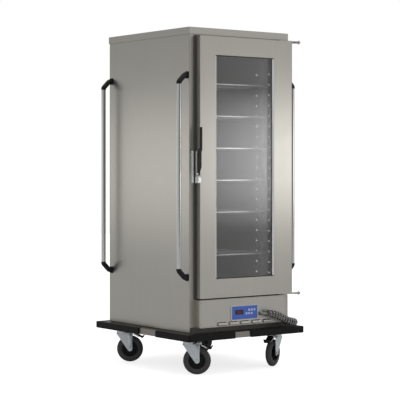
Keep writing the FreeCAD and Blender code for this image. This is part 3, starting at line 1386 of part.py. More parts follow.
def cord_coil():
    """Curly part of the lead, from the gland round the front corner and back along the right ledge."""
    radii = curl_radii(CURL_POINTS)
    route = path(CURL_POINTS, radii, False)
    solid = many_sided_tube(route, CURL_D / 2, CURL_SIDES)
    section = CURL_SIDES / 2 * (CURL_D / 2) ** 2 * math.sin(2 * math.pi / CURL_SIDES)
    print("curl radii:", [round(radius) for radius in radii[1:-1]])
    print("curl volume over section times length:", round(solid.Volume / (section * route.Length), 4))
    return solid


def cord_plug():
    """Two-pin earthed plug that lies at the end of the curl."""
    end = Vector(*CURL_POINTS[-1])
    along = end.sub(Vector(*CURL_POINTS[-2])).normalize()
    face = PLUG_LENGTH - PLUG_PIN_LENGTH
    profile = [(0, 0), (PLUG_NECK_R, 0), (PLUG_R, PLUG_NECK), (PLUG_R, face), (0, face)]
    body = turned(profile, BOOT_SIDES)
    pins = []
    for side in (-1, 1):
        pins.append(rod((side * PLUG_PIN_X, face - 1, 0), (side * PLUG_PIN_X, PLUG_LENGTH, 0), PLUG_PIN / 2))
    plug = join([body] + pins)
    plug.Placement = FreeCAD.Placement(end, FreeCAD.Rotation(Y_AXIS, along))
    return plug


# ---------------------------------------------------------------- assembly
def cabinet_pieces():
    left = side_panel()
    pieces = {
        "side_panel_left": left, "side_panel_right": mirrored(left), "back_panel": back_panel(),
        "roof_cap": roof_cap(), "base_pan": base_pan(), "front_frame": front_frame(),
        "breaker_strip": breaker_strip(), "inner_liner": inner_liner(), "wall_insulation": wall_insulation(),
        "side_racks": side_racks(), "wire_shelves": wire_shelves(), "control_housing": control_housing(),
        "keypad_bezel": keypad_bezel(), "keypad_panel": keypad_panel(), "display_window": display_window(),
        "control_board": control_board(), "heater_element": heater_element(), "fan_motor": fan_motor(),
        "fan_cover": fan_cover(), "fan_impeller": fan_impeller(), "water_pan": water_pan(),
        "chassis_frame": chassis_frame(), "bumper_corners": bumper_corners(), "handle_tubes": handle_tubes(),
        "handle_elbows": handle_elbows(), "hinge_brackets": hinge_brackets(), "latch_keeper": latch_keeper(),
        "door_skin": door_skin(), "door_pan": door_pan(), "window_panes": window_panes(),
        "window_bead": window_bead(), "door_gasket": door_gasket(), "hinge_arms": hinge_arms(),
        "latch_body": latch_body(), "latch_lever": latch_lever(),
    }
    for number, (x, z) in enumerate(key_places(), start=1):
        pieces["key_%d" % number] = key(x, z)
    parts = {
        "caster_fork": caster_fork(), "caster_hub": caster_hub(), "caster_tyre": caster_tyre(),
        "caster_pedal": caster_pedal(),
    }
    for place, (kingpin, angle) in caster_frames().items():
        for name, shape in parts.items():
            pieces[name + "_" + place] = placed(shape, kingpin, angle)
    return pieces


def cord_pieces():
    return {"cord_gland": cord_gland(), "cord_coil": cord_coil(), "cord_plug": cord_plug()}


def footprint_middle():
    """Middle of everything but the cord, seen from above."""
    left = max(BUMPER_W / 2, HALF_W + HANDLE_OFF + ELBOW_D / 2)
    right = max(left, HINGE_X + HINGE_EYE_R)
    front = BUMPER_FRONT
    back = BODY_D + BUMPER_REAR
    return Vector((right - left) / 2, (back - front) / 2, 0)


os.makedirs("parts", exist_ok=True)
ORIGIN = footprint_middle()
everything = cabinet_pieces()
everything.update(cord_pieces())
for name, shape in everything.items():
    shape.translated(ORIGIN.negative()).exportStep("parts/" + name + ".step")
print("nodes:", len(everything), "origin at:", tuple(ORIGIN))
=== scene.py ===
# %% [markdown]
# # Dressing a proofing cabinet
# A proofing cabinet keeps trays of dough warm and moist. The CAD model gives every piece its place.
# This notebook gives the pieces their finishes, adds the small details that a CAD model leaves plain,
# and sets up the light, the floor and the camera. It starts by loading the CAD model as a fixed frame.

# %% Load the frame
import json
import math

import bmesh
import bpy
from mathutils import Matrix, Vector


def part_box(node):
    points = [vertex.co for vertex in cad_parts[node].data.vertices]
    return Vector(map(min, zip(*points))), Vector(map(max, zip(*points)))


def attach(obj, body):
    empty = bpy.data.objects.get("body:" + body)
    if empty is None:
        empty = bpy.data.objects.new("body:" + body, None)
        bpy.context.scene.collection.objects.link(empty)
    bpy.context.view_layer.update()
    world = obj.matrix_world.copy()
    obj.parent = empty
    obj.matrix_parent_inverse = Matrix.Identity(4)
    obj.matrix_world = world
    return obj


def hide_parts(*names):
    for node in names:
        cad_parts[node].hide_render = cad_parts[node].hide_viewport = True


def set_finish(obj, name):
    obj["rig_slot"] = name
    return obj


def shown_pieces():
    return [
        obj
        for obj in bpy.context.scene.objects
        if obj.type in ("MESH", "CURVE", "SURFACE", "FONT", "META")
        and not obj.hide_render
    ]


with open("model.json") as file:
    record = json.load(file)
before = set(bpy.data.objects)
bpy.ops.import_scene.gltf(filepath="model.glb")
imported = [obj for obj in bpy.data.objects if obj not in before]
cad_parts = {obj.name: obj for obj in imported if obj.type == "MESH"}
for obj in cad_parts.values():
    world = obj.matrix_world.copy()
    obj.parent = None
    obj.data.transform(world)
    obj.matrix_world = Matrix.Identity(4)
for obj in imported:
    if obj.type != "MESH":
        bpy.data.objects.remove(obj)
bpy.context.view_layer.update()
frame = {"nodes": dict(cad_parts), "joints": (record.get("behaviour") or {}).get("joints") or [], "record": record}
joints = {joint["name"]: joint for joint in frame["joints"]}
MM = 0.001
print("nodes:", len(frame["nodes"]), "joints:", len(joints))

# %% [markdown]
# ## The camera
# The cabinet is seen from its front left, from far away, so its edges hardly converge. A long lens at
# chest height does that. The camera stays level, because a tilted camera makes upright edges lean;
# the view is moved down with the lens shift instead.

# %% Camera
VIEW_TURN = math.radians(36.51)
EYE = Vector((-4.837, -6.545, 1.104))
FOCAL_LENGTH = 128.5
VIEW_SHIFT = -0.0765

lens = bpy.data.cameras.new("camera")
lens.lens = FOCAL_LENGTH
lens.shift_y = VIEW_SHIFT
camera = bpy.data.objects.new("camera", lens)
camera.location = EYE
camera.rotation_euler = (math.radians(90), 0, -VIEW_TURN)
bpy.context.scene.collection.objects.link(camera)
bpy.context.scene.camera = camera
print("camera at", tuple(round(value, 3) for value in EYE))

# %% [markdown]
# ## Shapes that several pieces share
# Turned pieces, such as tyres and screw heads, come from a half section that is spun round an axis.
# Sheets and levers come from a side view that is given a thickness. Sharp corners of both are eased
# first, because real moulded and pressed pieces have no knife edges.


# %% Eased corners
def eased(points, radius, steps=4, closed=False):
    """The same polyline with each corner turned into a curve, which takes just under half a run."""
    points = [Vector(point) for point in points]
    last = len(points) - 1
    rounded = []
    for index, corner in enumerate(points):
        if not closed and index in (0, last):
            rounded.append(corner)
            continue
        before = points[index - 1]
        after = points[(index + 1) % len(points)]
        cut = min(radius, (before - corner).length / 2.01, (after - corner).length / 2.01)
        start = corner + (before - corner).normalized() * cut
        end = corner + (after - corner).normalized() * cut
        for step in range(steps + 1):
            share = step / steps
            rounded.append(start.lerp(corner, share).lerp(corner.lerp(end, share), share))
    return rounded


def flat(points):
    """Two-number pairs of points that were eased in a plane."""
    return [(point.x, point.y) for point in points]


square_corner = eased([(0, 0, 0), (1, 0, 0), (1, 1, 0)], 0.1)
print("points that ease one corner:", len(square_corner) - 2)

# %% Meshes and pieces
SHARP_ANGLE = math.radians(35)


def finished_piece(name, mesh, body, slot):
    """Object for a mesh, riding on a body and taking its finish from a slot of the record."""
    piece = bpy.data.objects.new(name, mesh)
    bpy.context.scene.collection.objects.link(piece)
    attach(piece, body)
    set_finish(piece, slot)
    return piece


def mesh_from(name, shape, smooth):
    """Mesh of a bmesh, with outward faces and shading that keeps sharp edges sharp."""
    bmesh.ops.remove_doubles(shape, verts=shape.verts, dist=0.01 * MM)
    bmesh.ops.recalc_face_normals(shape, faces=shape.faces)
    mesh = bpy.data.meshes.new(name)
    shape.to_mesh(mesh)
    shape.free()
    for polygon in mesh.polygons:
        polygon.use_smooth = smooth
    mesh.set_sharp_from_angle(angle=SHARP_ANGLE)
    return mesh


def piece_from(name, shape, body, slot, smooth=True):
    """Piece whose mesh comes from a bmesh."""
    return finished_piece(name, mesh_from(name, shape, smooth), body, slot)


def soften_edges(piece, width):
    """Rounds the edges of a piece with a bevel modifier."""
    bevel = piece.modifiers.new("edges", "BEVEL")
    bevel.width = width
    bevel.segments = 2
    bevel.limit_method = "ANGLE"
    bevel.angle_limit = SHARP_ANGLE


print("edges stay sharp above", round(math.degrees(SHARP_ANGLE)), "degrees")


# %% Turned shapes and plates
def add_turned(shape, section, placing, sides=48):
    """Adds a closed or axis-to-axis section of (radius, height) points, spun round the placing's Z."""
    rings = []
    for step in range(sides):
        turn = 2 * math.pi * step / sides
        spin = Vector((math.cos(turn), math.sin(turn)))
        rings.append([shape.verts.new(placing @ Vector((spin.x * r, spin.y * r, z))) for r, z in section])
    for here, after in zip(rings, rings[1:] + rings[:1]):
        for index in range(len(section) - 1):
            shape.faces.new((here[index], after[index], after[index + 1], here[index + 1]))


def add_plate(shape, outline, placing, half_width):
    """Adds a flat outline in the placing's X and Z, given a thickness both ways along its Y."""
    near = [shape.verts.new(placing @ Vector((x, -half_width, z))) for x, z in outline]
    far = [shape.verts.new(placing @ Vector((x, half_width, z))) for x, z in outline]
    shape.faces.new(near)
    shape.faces.new(list(reversed(far)))
    for index in range(len(outline)):
        following = (index + 1) % len(outline)
        shape.faces.new((near[following], near[index], far[index], far[following]))


def facing(place, direction):
    """Placing whose Z points along a direction."""
    return Matrix.Translation(place) @ Vector(direction).to_track_quat("Z", "Y").to_matrix().to_4x4()


front_z = facing((0, 0, 0), (0, -1, 0)).col[2]
print("a placing that faces the front has its Z along", tuple(round(value) for value in front_z[:3]))

# %% [markdown]
# ## The curly lead
# A curly lead is a straight cable that was wound on a rod and heated. It could be a spring-shaped mesh,
# but a curve with a round bevel keeps its true diameter at every turn. First comes a smooth route, then
# the turns are wound round points read from that route. At the end the curve becomes a mesh, so that its
# size is measured as it looks.

# %% The route of the lead
CABLE_D = 9.5 * MM
CURL_D = 44 * MM
CURL_PITCH = 18.5 * MM
CURL_STEPS = 14
LEAD_IN = 20 * MM

ROUTE = [
    (0.1285, -0.447, 0.311), (0.1635, -0.452, 0.311), (0.2075, -0.457, 0.297), (0.2535, -0.457, 0.274),
    (0.3015, -0.455, 0.256), (0.3425, -0.437, 0.249), (0.3655, -0.394, 0.2485), (0.3695, -0.338, 0.2485),
    (0.3665, -0.282, 0.2485), (0.3695, -0.226, 0.2485), (0.3685, -0.175, 0.2485),
]


def smooth_curve(name, places):
    """Curve object whose NURBS spline has these places as its control points."""
    curve = bpy.data.curves.new(name, "CURVE")
    curve.dimensions = "3D"
    spline = curve.splines.new("NURBS")
    spline.points.add(len(places) - 1)
    for control, place in zip(spline.points, places):
        control.co = (*place, 1)
    spline.order_u = 3
    spline.use_endpoint_u = True
    piece = bpy.data.objects.new(name, curve)
    bpy.context.scene.collection.objects.link(piece)
    return piece


def read_line(piece):
    """Points along a curve that has no bevel."""
    mesh = bpy.data.meshes.new_from_object(piece)
    places = [vertex.co.copy() for vertex in mesh.vertices]
    bpy.data.meshes.remove(mesh)
    return places


route_guide = smooth_curve("route_guide", ROUTE)
route_line = read_line(route_guide)
bpy.data.objects.remove(route_guide)
print("route points:", len(route_line))


# %% Winding the turns
def stations(line):
    """Distance of each point from the start of the line."""
    reach = [0.0]
    for before, after in zip(line, line[1:]):
        reach.append(reach[-1] + (after - before).length)
    return reach


def place_at(line, reach, distance):
    """Point and direction at a distance along the line."""
    index = 1
    while index < len(line) - 1 and reach[index] < distance:
        index += 1
    run = line[index] - line[index - 1]
    share = (distance - reach[index - 1]) / run.length
    return line[index - 1] + run * share, run.normalized()


def wound(line, radius, pitch, steps):
    """Points of a helix round the line, which opens out at one end and closes at the other."""
    reach = stations(line)
    count = round(reach[-1] / pitch) * steps
    side = Vector((0, 0, 1))
    places = []
    for step in range(count + 1):
        distance = reach[-1] * step / count
        centre, along = place_at(line, reach, distance)
        side = (side - along * side.dot(along)).normalized()
        other = along.cross(side)
        opening = min(1, distance / LEAD_IN, (reach[-1] - distance) / LEAD_IN)
        spread = radius * opening * opening * (3 - 2 * opening)
        turn = 2 * math.pi * step / steps
        places.append(centre + (side * math.cos(turn) + other * math.sin(turn)) * spread)
    return places


lead_curve = smooth_curve("lead_curve", wound(route_line, (CURL_D - CABLE_D) / 2, CURL_PITCH, CURL_STEPS))
lead_curve.data.splines[0].resolution_u = 4
lead_line = read_line(lead_curve)
lead_curve.data.bevel_depth = CABLE_D / 2
lead_curve.data.bevel_resolution = 3
lead_mesh = bpy.data.meshes.new_from_object(lead_curve)
bpy.data.objects.remove(lead_curve)
lead = finished_piece("curly_lead", lead_mesh, "cabinet", "cord_black")
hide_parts("cord_coil")

# %% [markdown]
# ## Strain relief and plug of the lead
# Where a cable enters a housing, a nut clamps it and a rubber boot spreads its bending. The boot tapers
# and has grooves, so that it bends evenly. The plug is a moulded body that widens to a collar, with two
# pins.

# %% Gland nut
housing_low, housing_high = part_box("control_housing")
GLAND_X = 0.1045
NUT_R = 11 * MM
NUT_H = 6 * MM

start = Vector((GLAND_X, housing_low.y, ROUTE[0][2]))
nut_shape = bmesh.new()
nut_section = [(0, 0), (NUT_R, 0), (NUT_R, NUT_H), (NUT_R * 0.8, NUT_H + 1 * MM), (0, NUT_H + 1 * MM)]
add_turned(nut_shape, nut_section, facing(start, (0, -1, 0)), 6)
nut = piece_from("gland_nut", nut_shape, "cabinet", "cord_black", smooth=False)
soften_edges(nut, 0.6 * MM)
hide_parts("cord_gland")
print("gland nut at", tuple(round(value, 3) for value in start))

# %% Boot
BOOT_R = 8.5 * MM
BOOT_RINGS = 6
BOOT_SIDES = 20
BOOT_GROOVE = 0.8 * MM

lead_start, lead_next = Vector(ROUTE[0]), Vector(ROUTE[1])
boot_route = [start, start + Vector((0, -16 * MM, 0)), lead_start - Vector((10 * MM, -1 * MM, 0)),
              lead_start, lead_next - (lead_next - lead_start) * 0.55]
boot = smooth_curve("cord_boot", boot_route)
boot_line = read_line(boot)
bpy.data.objects.remove(boot)
boot_shape = bmesh.new()
boot_reach = stations(boot_line)
boot_sections = 4 * BOOT_RINGS
previous = None
for step in range(boot_sections + 1):
    share = step / boot_sections
    middle, along = place_at(boot_line, boot_reach, boot_reach[-1] * share)
    groove = BOOT_GROOVE if step % 4 in (2, 3) and 0 < step < boot_sections else 0
    around = BOOT_R + (CABLE_D / 2 + 0.4 * MM - BOOT_R) * share - groove
    placing = facing(middle, along)
    ring = [boot_shape.verts.new(placing @ Vector((around * math.cos(turn), around * math.sin(turn), 0)))
            for turn in [2 * math.pi * side / BOOT_SIDES for side in range(BOOT_SIDES)]]
    if previous:
        for side in range(BOOT_SIDES):
            after = (side + 1) % BOOT_SIDES
            boot_shape.faces.new((previous[side], previous[after], ring[after], ring[side]))
    previous = ring
cord_boot = piece_from("cord_boot", boot_shape, "cabinet", "cord_black")
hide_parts("cord_gland")
print("boot length:", round(boot_reach[-1] / MM, 1), "mm")

# %% Plug
plug_low, plug_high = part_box("cord_plug")
PIN_LENGTH = 18.8 * MM
PIN_SINK = 0.3 * MM
PIN_R = 2.4 * MM
PIN_X = 9.5 * MM
PLUG_LENGTH = 55 * MM
plug_along = (Vector(ROUTE[-1]) - Vector(ROUTE[-2])).normalized()
plug_start = Vector(ROUTE[-1])
plug_r = (plug_high.z - plug_low.z) / 2
plug_section = flat(eased([
    (0, 0, 0), (6 * MM, 0, 0), (7 * MM, 12 * MM, 0), (plug_r * 0.78, 26 * MM, 0), (plug_r * 0.85, 36 * MM, 0),
    (plug_r, 40 * MM, 0), (plug_r, PLUG_LENGTH, 0), (0, PLUG_LENGTH, 0),
], 2.5 * MM))
plug_placing = facing(plug_start, plug_along)
plug_shape = bmesh.new()
add_turned(plug_shape, plug_section, plug_placing)
plug = piece_from("plug_body", plug_shape, "cabinet", "cord_black")
pin_shape = bmesh.new()
pin_section = flat(eased([(0, 0, 0), (PIN_R, 0, 0), (PIN_R, PIN_LENGTH, 0), (0, PIN_LENGTH, 0)], 1.5 * MM))
for side in (-1, 1):
    pin_place = plug_placing @ Matrix.Translation((0, side * PIN_X, PLUG_LENGTH - PIN_SINK))
    add_turned(pin_shape, pin_section, pin_place, 20)
plug_pins = piece_from("plug_pins", pin_shape, "cabinet", "latch_chrome")
for piece in (plug, plug_pins):
    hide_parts("cord_plug")
print("plug from", tuple(round(value, 3) for value in plug_start))

# %% [markdown]
# ## Casters
# Each caster has a grey rubber tyre on a black plastic centre with ribs, and a foot brake. The frame's
# joints say where each axle is and which way it points, so one set of functions makes all four.

# %% Tyres and wheel centres
PLACES = ("front_left", "front_right", "rear_left", "rear_right")
WHEEL_SIDES = 72
WHEEL_R = 75 * MM
TYRE_INNER_R = 46 * MM
TYRE_HALF_W = 16 * MM
HUB_HALF_W = 12 * MM
BOSS_R = 17 * MM
BOSS_HALF_W = 22 * MM
BORE_R = 5.1 * MM
WEB_HALF_W = 5 * MM
RIB_COUNT = 8
RIB_HALF_T = 1.2 * MM

tyre_half = eased([
    (TYRE_INNER_R, TYRE_HALF_W - 1.5 * MM, 0), (TYRE_INNER_R + 4 * MM, TYRE_HALF_W - 0.5 * MM, 0),
    (WHEEL_R - 12 * MM, TYRE_HALF_W, 0), (WHEEL_R - 2.5 * MM, TYRE_HALF_W - 6 * MM, 0), (WHEEL_R, 4 * MM, 0),
], 5 * MM)
tyre_section = flat(tyre_half) + [(r, -z) for r, z in reversed(flat(tyre_half))]
hub_half = [
    (BORE_R, BOSS_HALF_W), (BOSS_R - 2 * MM, BOSS_HALF_W), (BOSS_R, BOSS_HALF_W - 2 * MM),
    (BOSS_R + 1 * MM, WEB_HALF_W), (TYRE_INNER_R - 6 * MM, WEB_HALF_W), (TYRE_INNER_R - 5 * MM, HUB_HALF_W),
    (TYRE_INNER_R, HUB_HALF_W),
]
hub_section = hub_half + [(r, -z) for r, z in reversed(hub_half)]


def tyre(place, axle):
    """Rubber tyre of one wheel, turned round its axle."""
    shape = bmesh.new()
    add_turned(shape, tyre_section + tyre_section[:1], axle, WHEEL_SIDES)
    piece = piece_from("tyre_" + place, shape, "wheel_" + place, "grey_tyre")
    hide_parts("caster_tyre_" + place)


def wheel_centre(place, axle):
    """Centre of one wheel: rim, web and boss in one section, and upright ribs on both sides."""
    shape = bmesh.new()
    add_turned(shape, hub_section + hub_section[:1], axle, WHEEL_SIDES)
    rib_end = TYRE_INNER_R - 5.2 * MM
    rib = [(BOSS_R, WEB_HALF_W - 1 * MM), (rib_end, WEB_HALF_W - 1 * MM),
           (rib_end, HUB_HALF_W - 2 * MM), (BOSS_R, HUB_HALF_W + 2 * MM)]
    for number in range(RIB_COUNT):
        for side in (1, -1):
            turned = axle @ Matrix.Rotation(2 * math.pi * number / RIB_COUNT, 4, "Z")
            add_plate(shape, [(x, z * side) for x, z in rib], turned, RIB_HALF_T)
    name = "wheel_centre_" + place
    piece = piece_from(name, shape, "wheel_" + place, "hub_plastic")
    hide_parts("caster_hub_" + place)


for place in PLACES:
    roll = joints["roll_" + place]
    axle = facing(roll["pos_m"], roll["axis"])
    tyre(place, axle)
    wheel_centre(place, axle)
print("wheels:", len(PLACES))

# %% [markdown]
# ## Brake pedals
# The foot pedal is a moulded plate, dished for the shoe and ribbed for grip. Under it a plated steel
# finger presses on the tyre. Both turn on the pin at the back of the fork.

# %% Outlines of pedal and finger
PEDAL_HALF_W = 18 * MM
PEDAL_INNER = 10.2 * MM
PEDAL_NECK = [(0, -3 * MM), (9 * MM, -3 * MM), (9 * MM, 5 * MM), (0, 5.5 * MM)]
BARREL_R = 6 * MM
BARREL_BORE_R = 3.1 * MM
BARREL_SIDES = 28
GRIP_COUNT = 5
GRIP_FIRST = 20 * MM
GRIP_PITCH = 6 * MM
PEDAL_TOP = [(6, 6, 0), (51, -24, 0), (65, -9, 0)]
PEDAL_UNDER = [(65, -13, 0), (54, -35, 0), (8, -4, 0)]
FINGER_HALF_W = 15 * MM
FINGER = [(2, -7, 0), (20, -11, 0), (33, -19, 0), (36, -27, 0), (28, -25, 0), (14, -17, 0), (0, -12, 0)]


def in_metres(points):
    """The same points, which were written in millimetres."""
    return [Vector(point) * MM for point in points]


def caster_placing(place, origin):
    """Placing at an origin whose X points along the caster's level arm, from the kingpin to the pedal."""
    out = Vector(joints["brake_" + place]["pos_m"]) - Vector(joints["swivel_" + place]["pos_m"])
    out = Vector((out.x, out.y, 0)).normalized()
    across = Vector((0, 0, 1)).cross(out)
    return Matrix.Translation(origin) @ Matrix((out, across, (0, 0, 1))).transposed().to_4x4()


pedal_top = eased(in_metres(PEDAL_TOP), 12 * MM, 8)
pedal_under = eased(in_metres(PEDAL_UNDER), 12 * MM, 8)
pedal_outline = flat(pedal_top) + flat(pedal_under)
finger_outline = flat(eased(in_metres(FINGER), 6 * MM, 4, True))


def rib_outline(reach):
    """Side view of one small grip rib on the pedal's top, at a reach from the pin."""
    height = min((abs(point.x - reach), point.y) for point in pedal_top)[1]
    return [(reach - 1.6 * MM, height - 2 * MM), (reach + 1.6 * MM, height - 2 * MM),
            (reach + 0.8 * MM, height + 1.6 * MM), (reach - 0.8 * MM, height + 1.6 * MM)]


print("pedal reaches", round(max(point.x for point in pedal_top) / MM, 1), "mm from its pin")


# %% Pedals and brake fingers
def pedal(place, pin):
    """Foot pedal with its barrel round the pin and its grip ribs."""
    shape = bmesh.new()
    add_plate(shape, pedal_outline, pin, PEDAL_HALF_W)
    add_plate(shape, PEDAL_NECK, pin, PEDAL_INNER)
    barrel = pin @ Matrix.Rotation(math.radians(90), 4, "X")
    section = flat(eased([(BARREL_BORE_R, PEDAL_INNER, 0), (BARREL_R, PEDAL_INNER, 0),
                          (BARREL_R, -PEDAL_INNER, 0), (BARREL_BORE_R, -PEDAL_INNER, 0)], 0.8 * MM, 3))
    add_turned(shape, section + section[:1], barrel, BARREL_SIDES)
    for number in range(GRIP_COUNT):
        add_plate(shape, rib_outline(GRIP_FIRST + GRIP_PITCH * number), pin, PEDAL_HALF_W - 3 * MM)
    name = "pedal_" + place
    piece = piece_from(name, shape, "brake_" + place, "pedal_plastic")
    soften_edges(piece, 0.7 * MM)
    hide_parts("caster_pedal_" + place)


def brake_finger(place, pin):
    """Steel finger under the pedal, which the pedal pushes down to the tyre."""
    shape = bmesh.new()
    add_plate(shape, finger_outline, pin, FINGER_HALF_W)
    name = "brake_finger_" + place
    piece = piece_from(name, shape, "brake_" + place, "zinc_plate")
    soften_edges(piece, 0.6 * MM)


for place in PLACES:
    pin = caster_placing(place, joints["brake_" + place]["pos_m"])
    pedal(place, pin)
    brake_finger(place, pin)
print("pedals:", len(PLACES))

# %% [markdown]
# ## Fork ridges
# Each side of a fork has a pressed upright ridge that stiffens it above the axle. Its rounded face
# catches a line of light, so it's a bulge with a smooth section and not a flat strip.

# %% Fork ridges
RIDGE_X = 46 * MM
RIDGE_HALF_W = 11 * MM
RIDGE_LOW = 88 * MM
RIDGE_HIGH = 158 * MM
FORK_FACE = 25.5 * MM
RIDGE_RISE = 4 * MM
RIDGE_STEPS = 10
RIDGE_SINK = 0.2 * MM
RIDGE_FULLNESS = 0.7
RIDGE_ROWS = [
    (RIDGE_LOW - 6 * MM, 0, 0.5), (RIDGE_LOW - 3 * MM, 0.6, 0.8), (RIDGE_LOW, 1, 0.9),
    (RIDGE_HIGH, 1, 1.3), (RIDGE_HIGH + 3 * MM, 0.6, 1.3), (RIDGE_HIGH + 5 * MM, 0, 1.3),
]


def fork_ridge(place, fork):
    """Ridge on both sides of a fork. Each row has its height, its share of the rise and of the width."""
    shape = bmesh.new()
    for side in (-1, 1):
        rows = []
        for z, rise, width in RIDGE_ROWS:
            row = []
            for step in range(RIDGE_STEPS + 1):
                share = 2 * step / RIDGE_STEPS - 1
                bulge = math.cos(share * math.pi / 2) ** RIDGE_FULLNESS if abs(share) < 1 else 0
                out = FORK_FACE - RIDGE_SINK + RIDGE_RISE * rise * bulge
                x = RIDGE_X + share * RIDGE_HALF_W * width
                row.append(shape.verts.new(fork @ Vector((x, side * out, z))))
            rows.append(row)
        for below, above in zip(rows, rows[1:]):
            for step in range(RIDGE_STEPS):
                shape.faces.new((below[step], below[step + 1], above[step + 1], above[step]))
        if side == 1:
            bmesh.ops.reverse_faces(shape, faces=shape.faces)
    name = "fork_ridge_" + place
    piece_from(name, shape, "fork_" + place, "zinc_plate")


for place in PLACES:
    kingpin = Vector(joints["swivel_" + place]["pos_m"])
    fork_ridge(place, caster_placing(place, (kingpin.x, kingpin.y, 0)))
print("fork ridges:", 2 * len(PLACES))

# %% [markdown]
# ## Push handles
# Each handle is a bright tube between two black moulded elbows. The elbow is one smooth bend with a
# foot on the cabinet, a slanting run and a socket for the tube. Sweeping a circle along an eased path
# makes it without a seam.

# %% Sweeping a round tube
TUBE_SIDES = 32


def swept(shape, line, radii, sides=TUBE_SIDES):
    """Adds a round tube along a line of points, with one radius for each point."""
    previous = None
    side = Vector((0, 1, 0))
    for index, middle in enumerate(line):
        before = line[max(index - 1, 0)]
        after = line[min(index + 1, len(line) - 1)]
        along = (after - before).normalized()
        side = (side - along * side.dot(along)).normalized()
        other = along.cross(side)
        ring = []
        for number in range(sides):
            turn = 2 * math.pi * number / sides
            spread = side * math.cos(turn) + other * math.sin(turn)
            ring.append(shape.verts.new(middle + spread * radii[index]))
        if previous:
            for number in range(sides):
                following = (number + 1) % sides
                shape.faces.new((previous[number], previous[following], ring[following], ring[number]))
        else:
            shape.faces.new(list(reversed(ring)))
        previous = ring
    shape.faces.new(previous)


print("sides of a swept tube:", TUBE_SIDES)

# %% Handle elbows
ELBOW_R = 14 * MM
ELBOW_EASE = 11 * MM
FOOT_HALF_W = 15 * MM
FOOT_HALF_H = 19 * MM
FOOT_CORNER = 9 * MM
FOOT_T = 5 * MM
ELBOW_ARM = 17 * MM
ELBOW_SLANT = 38 * MM
ELBOW_SOCKET = 49 * MM
HANDLE_TUBE_R = 12.5 * MM
tube_low, tube_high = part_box("handle_tubes")
elbow_low, elbow_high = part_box("handle_elbows")
wall_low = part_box("side_panel_left")[0]
wall_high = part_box("side_panel_right")[1]


def handle_elbow(name, foot, out, down):
    """Elbow from its foot on the cabinet, out to the tube's line and along the tube."""
    reach = (tube_high.x - HANDLE_TUBE_R) - wall_high.x
    bend = eased([foot, foot + out * ELBOW_ARM, foot + out * reach + down * ELBOW_SLANT,
                  foot + out * reach + down * ELBOW_SOCKET], ELBOW_EASE, 8)
    shape = bmesh.new()
    swept(shape, bend, [ELBOW_R] * len(bend))
    mouth = bend[-1] - down * 6 * MM
    swept(shape, [mouth, mouth + down * 1 * MM, mouth + down * 5.9 * MM], [ELBOW_R - 1 * MM] + [ELBOW_R] * 2)
    foot_corners = [(-FOOT_HALF_W, -FOOT_HALF_H, 0), (FOOT_HALF_W, -FOOT_HALF_H, 0),
                    (FOOT_HALF_W, FOOT_HALF_H, 0), (-FOOT_HALF_W, FOOT_HALF_H, 0)]
    foot_outline = flat(eased(foot_corners, FOOT_CORNER, 5, True))
    sheet = Matrix.Translation(foot + out * FOOT_T / 2) @ Matrix.Rotation(math.radians(90), 4, "Z")
    add_plate(shape, foot_outline, sheet, FOOT_T / 2 - 0.05 * MM)
    piece = piece_from(name, shape, "cabinet", "black_plastic")
    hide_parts("handle_elbows")


middle_x = (wall_low.x + wall_high.x) / 2
sides = ((-1, "left"), (1, "right"))
tube_lines = ((tube_low.y + HANDLE_TUBE_R, "front"), (tube_high.y - HANDLE_TUBE_R, "rear"))
tube_ends = ((elbow_high.z - FOOT_HALF_H, -1, "upper"), (elbow_low.z + FOOT_HALF_H, 1, "lower"))
for side, side_name in sides:
    for y, y_name in tube_lines:
        for z, down, z_name in tube_ends:
            foot = Vector((middle_x + side * (wall_high.x - middle_x), y, z))
            handle_elbow("_".join(("elbow", side_name, y_name, z_name)), foot,
                         Vector((side, 0, 0)), Vector((0, 0, down)))
print("elbows:", len(sides) * len(tube_lines) * len(tube_ends))

# %% [markdown]
# ## Screws
# Pressed sheets are held by button-head screws with a hexagon socket. At arm's length only the dome and
# the dark socket show, so each head is one small turned form, and every group of heads is one mesh.

# %% Screw heads
SCREW_SIDES = 24


def screw_heads(name, places, direction, radius, body):
    """Button heads at these places, all facing one way."""
    shape = bmesh.new()
    height = radius * 0.55
    dome = [(0, height * 0.35), (radius * 0.42, height * 0.35), (radius * 0.42, height * 0.97),
            (radius * 0.5, height), (radius * 0.8, height * 0.78), (radius, height * 0.25), (radius, 0)]
    for place in places:
        add_turned(shape, dome, facing(place, direction), SCREW_SIDES)
    return piece_from(name, shape, body, "hinge_steel")


def spread(first, last, count):
    """Evenly spaced numbers from the first to the last."""
    return [first + (last - first) * number / (count - 1) for number in range(count)]


print("sides of a screw head:", SCREW_SIDES)

# %% Screws of the back panel and the control housing
BACK_SCREW_R = 4 * MM
BACK_ROWS = 7
BACK_SIDE = 20 * MM
BACK_BELOW = 50 * MM
BACK_ABOVE = 60 * MM
HOUSING_SCREW_R = 3 * MM
HOUSING_CORNER = Vector((14, 0, 14)) * MM

back_low, back_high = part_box("back_panel")
back_screws = [(x, back_high.y, z) for x in (back_low.x + BACK_SIDE, back_high.x - BACK_SIDE)
               for z in spread(back_low.z + BACK_BELOW, back_high.z - BACK_ABOVE, BACK_ROWS)]
screw_heads("back_screws", back_screws, (0, 1, 0), BACK_SCREW_R, "cabinet")

first, last = housing_low + HOUSING_CORNER, housing_high - HOUSING_CORNER
housing_screws = [(x, housing_low.y, z) for x in (first.x, last.x) for z in (first.z, last.z)]
screw_heads("housing_screws", housing_screws, (0, -1, 0), HOUSING_SCREW_R, "cabinet")
print("screws:", len(back_screws + housing_screws))

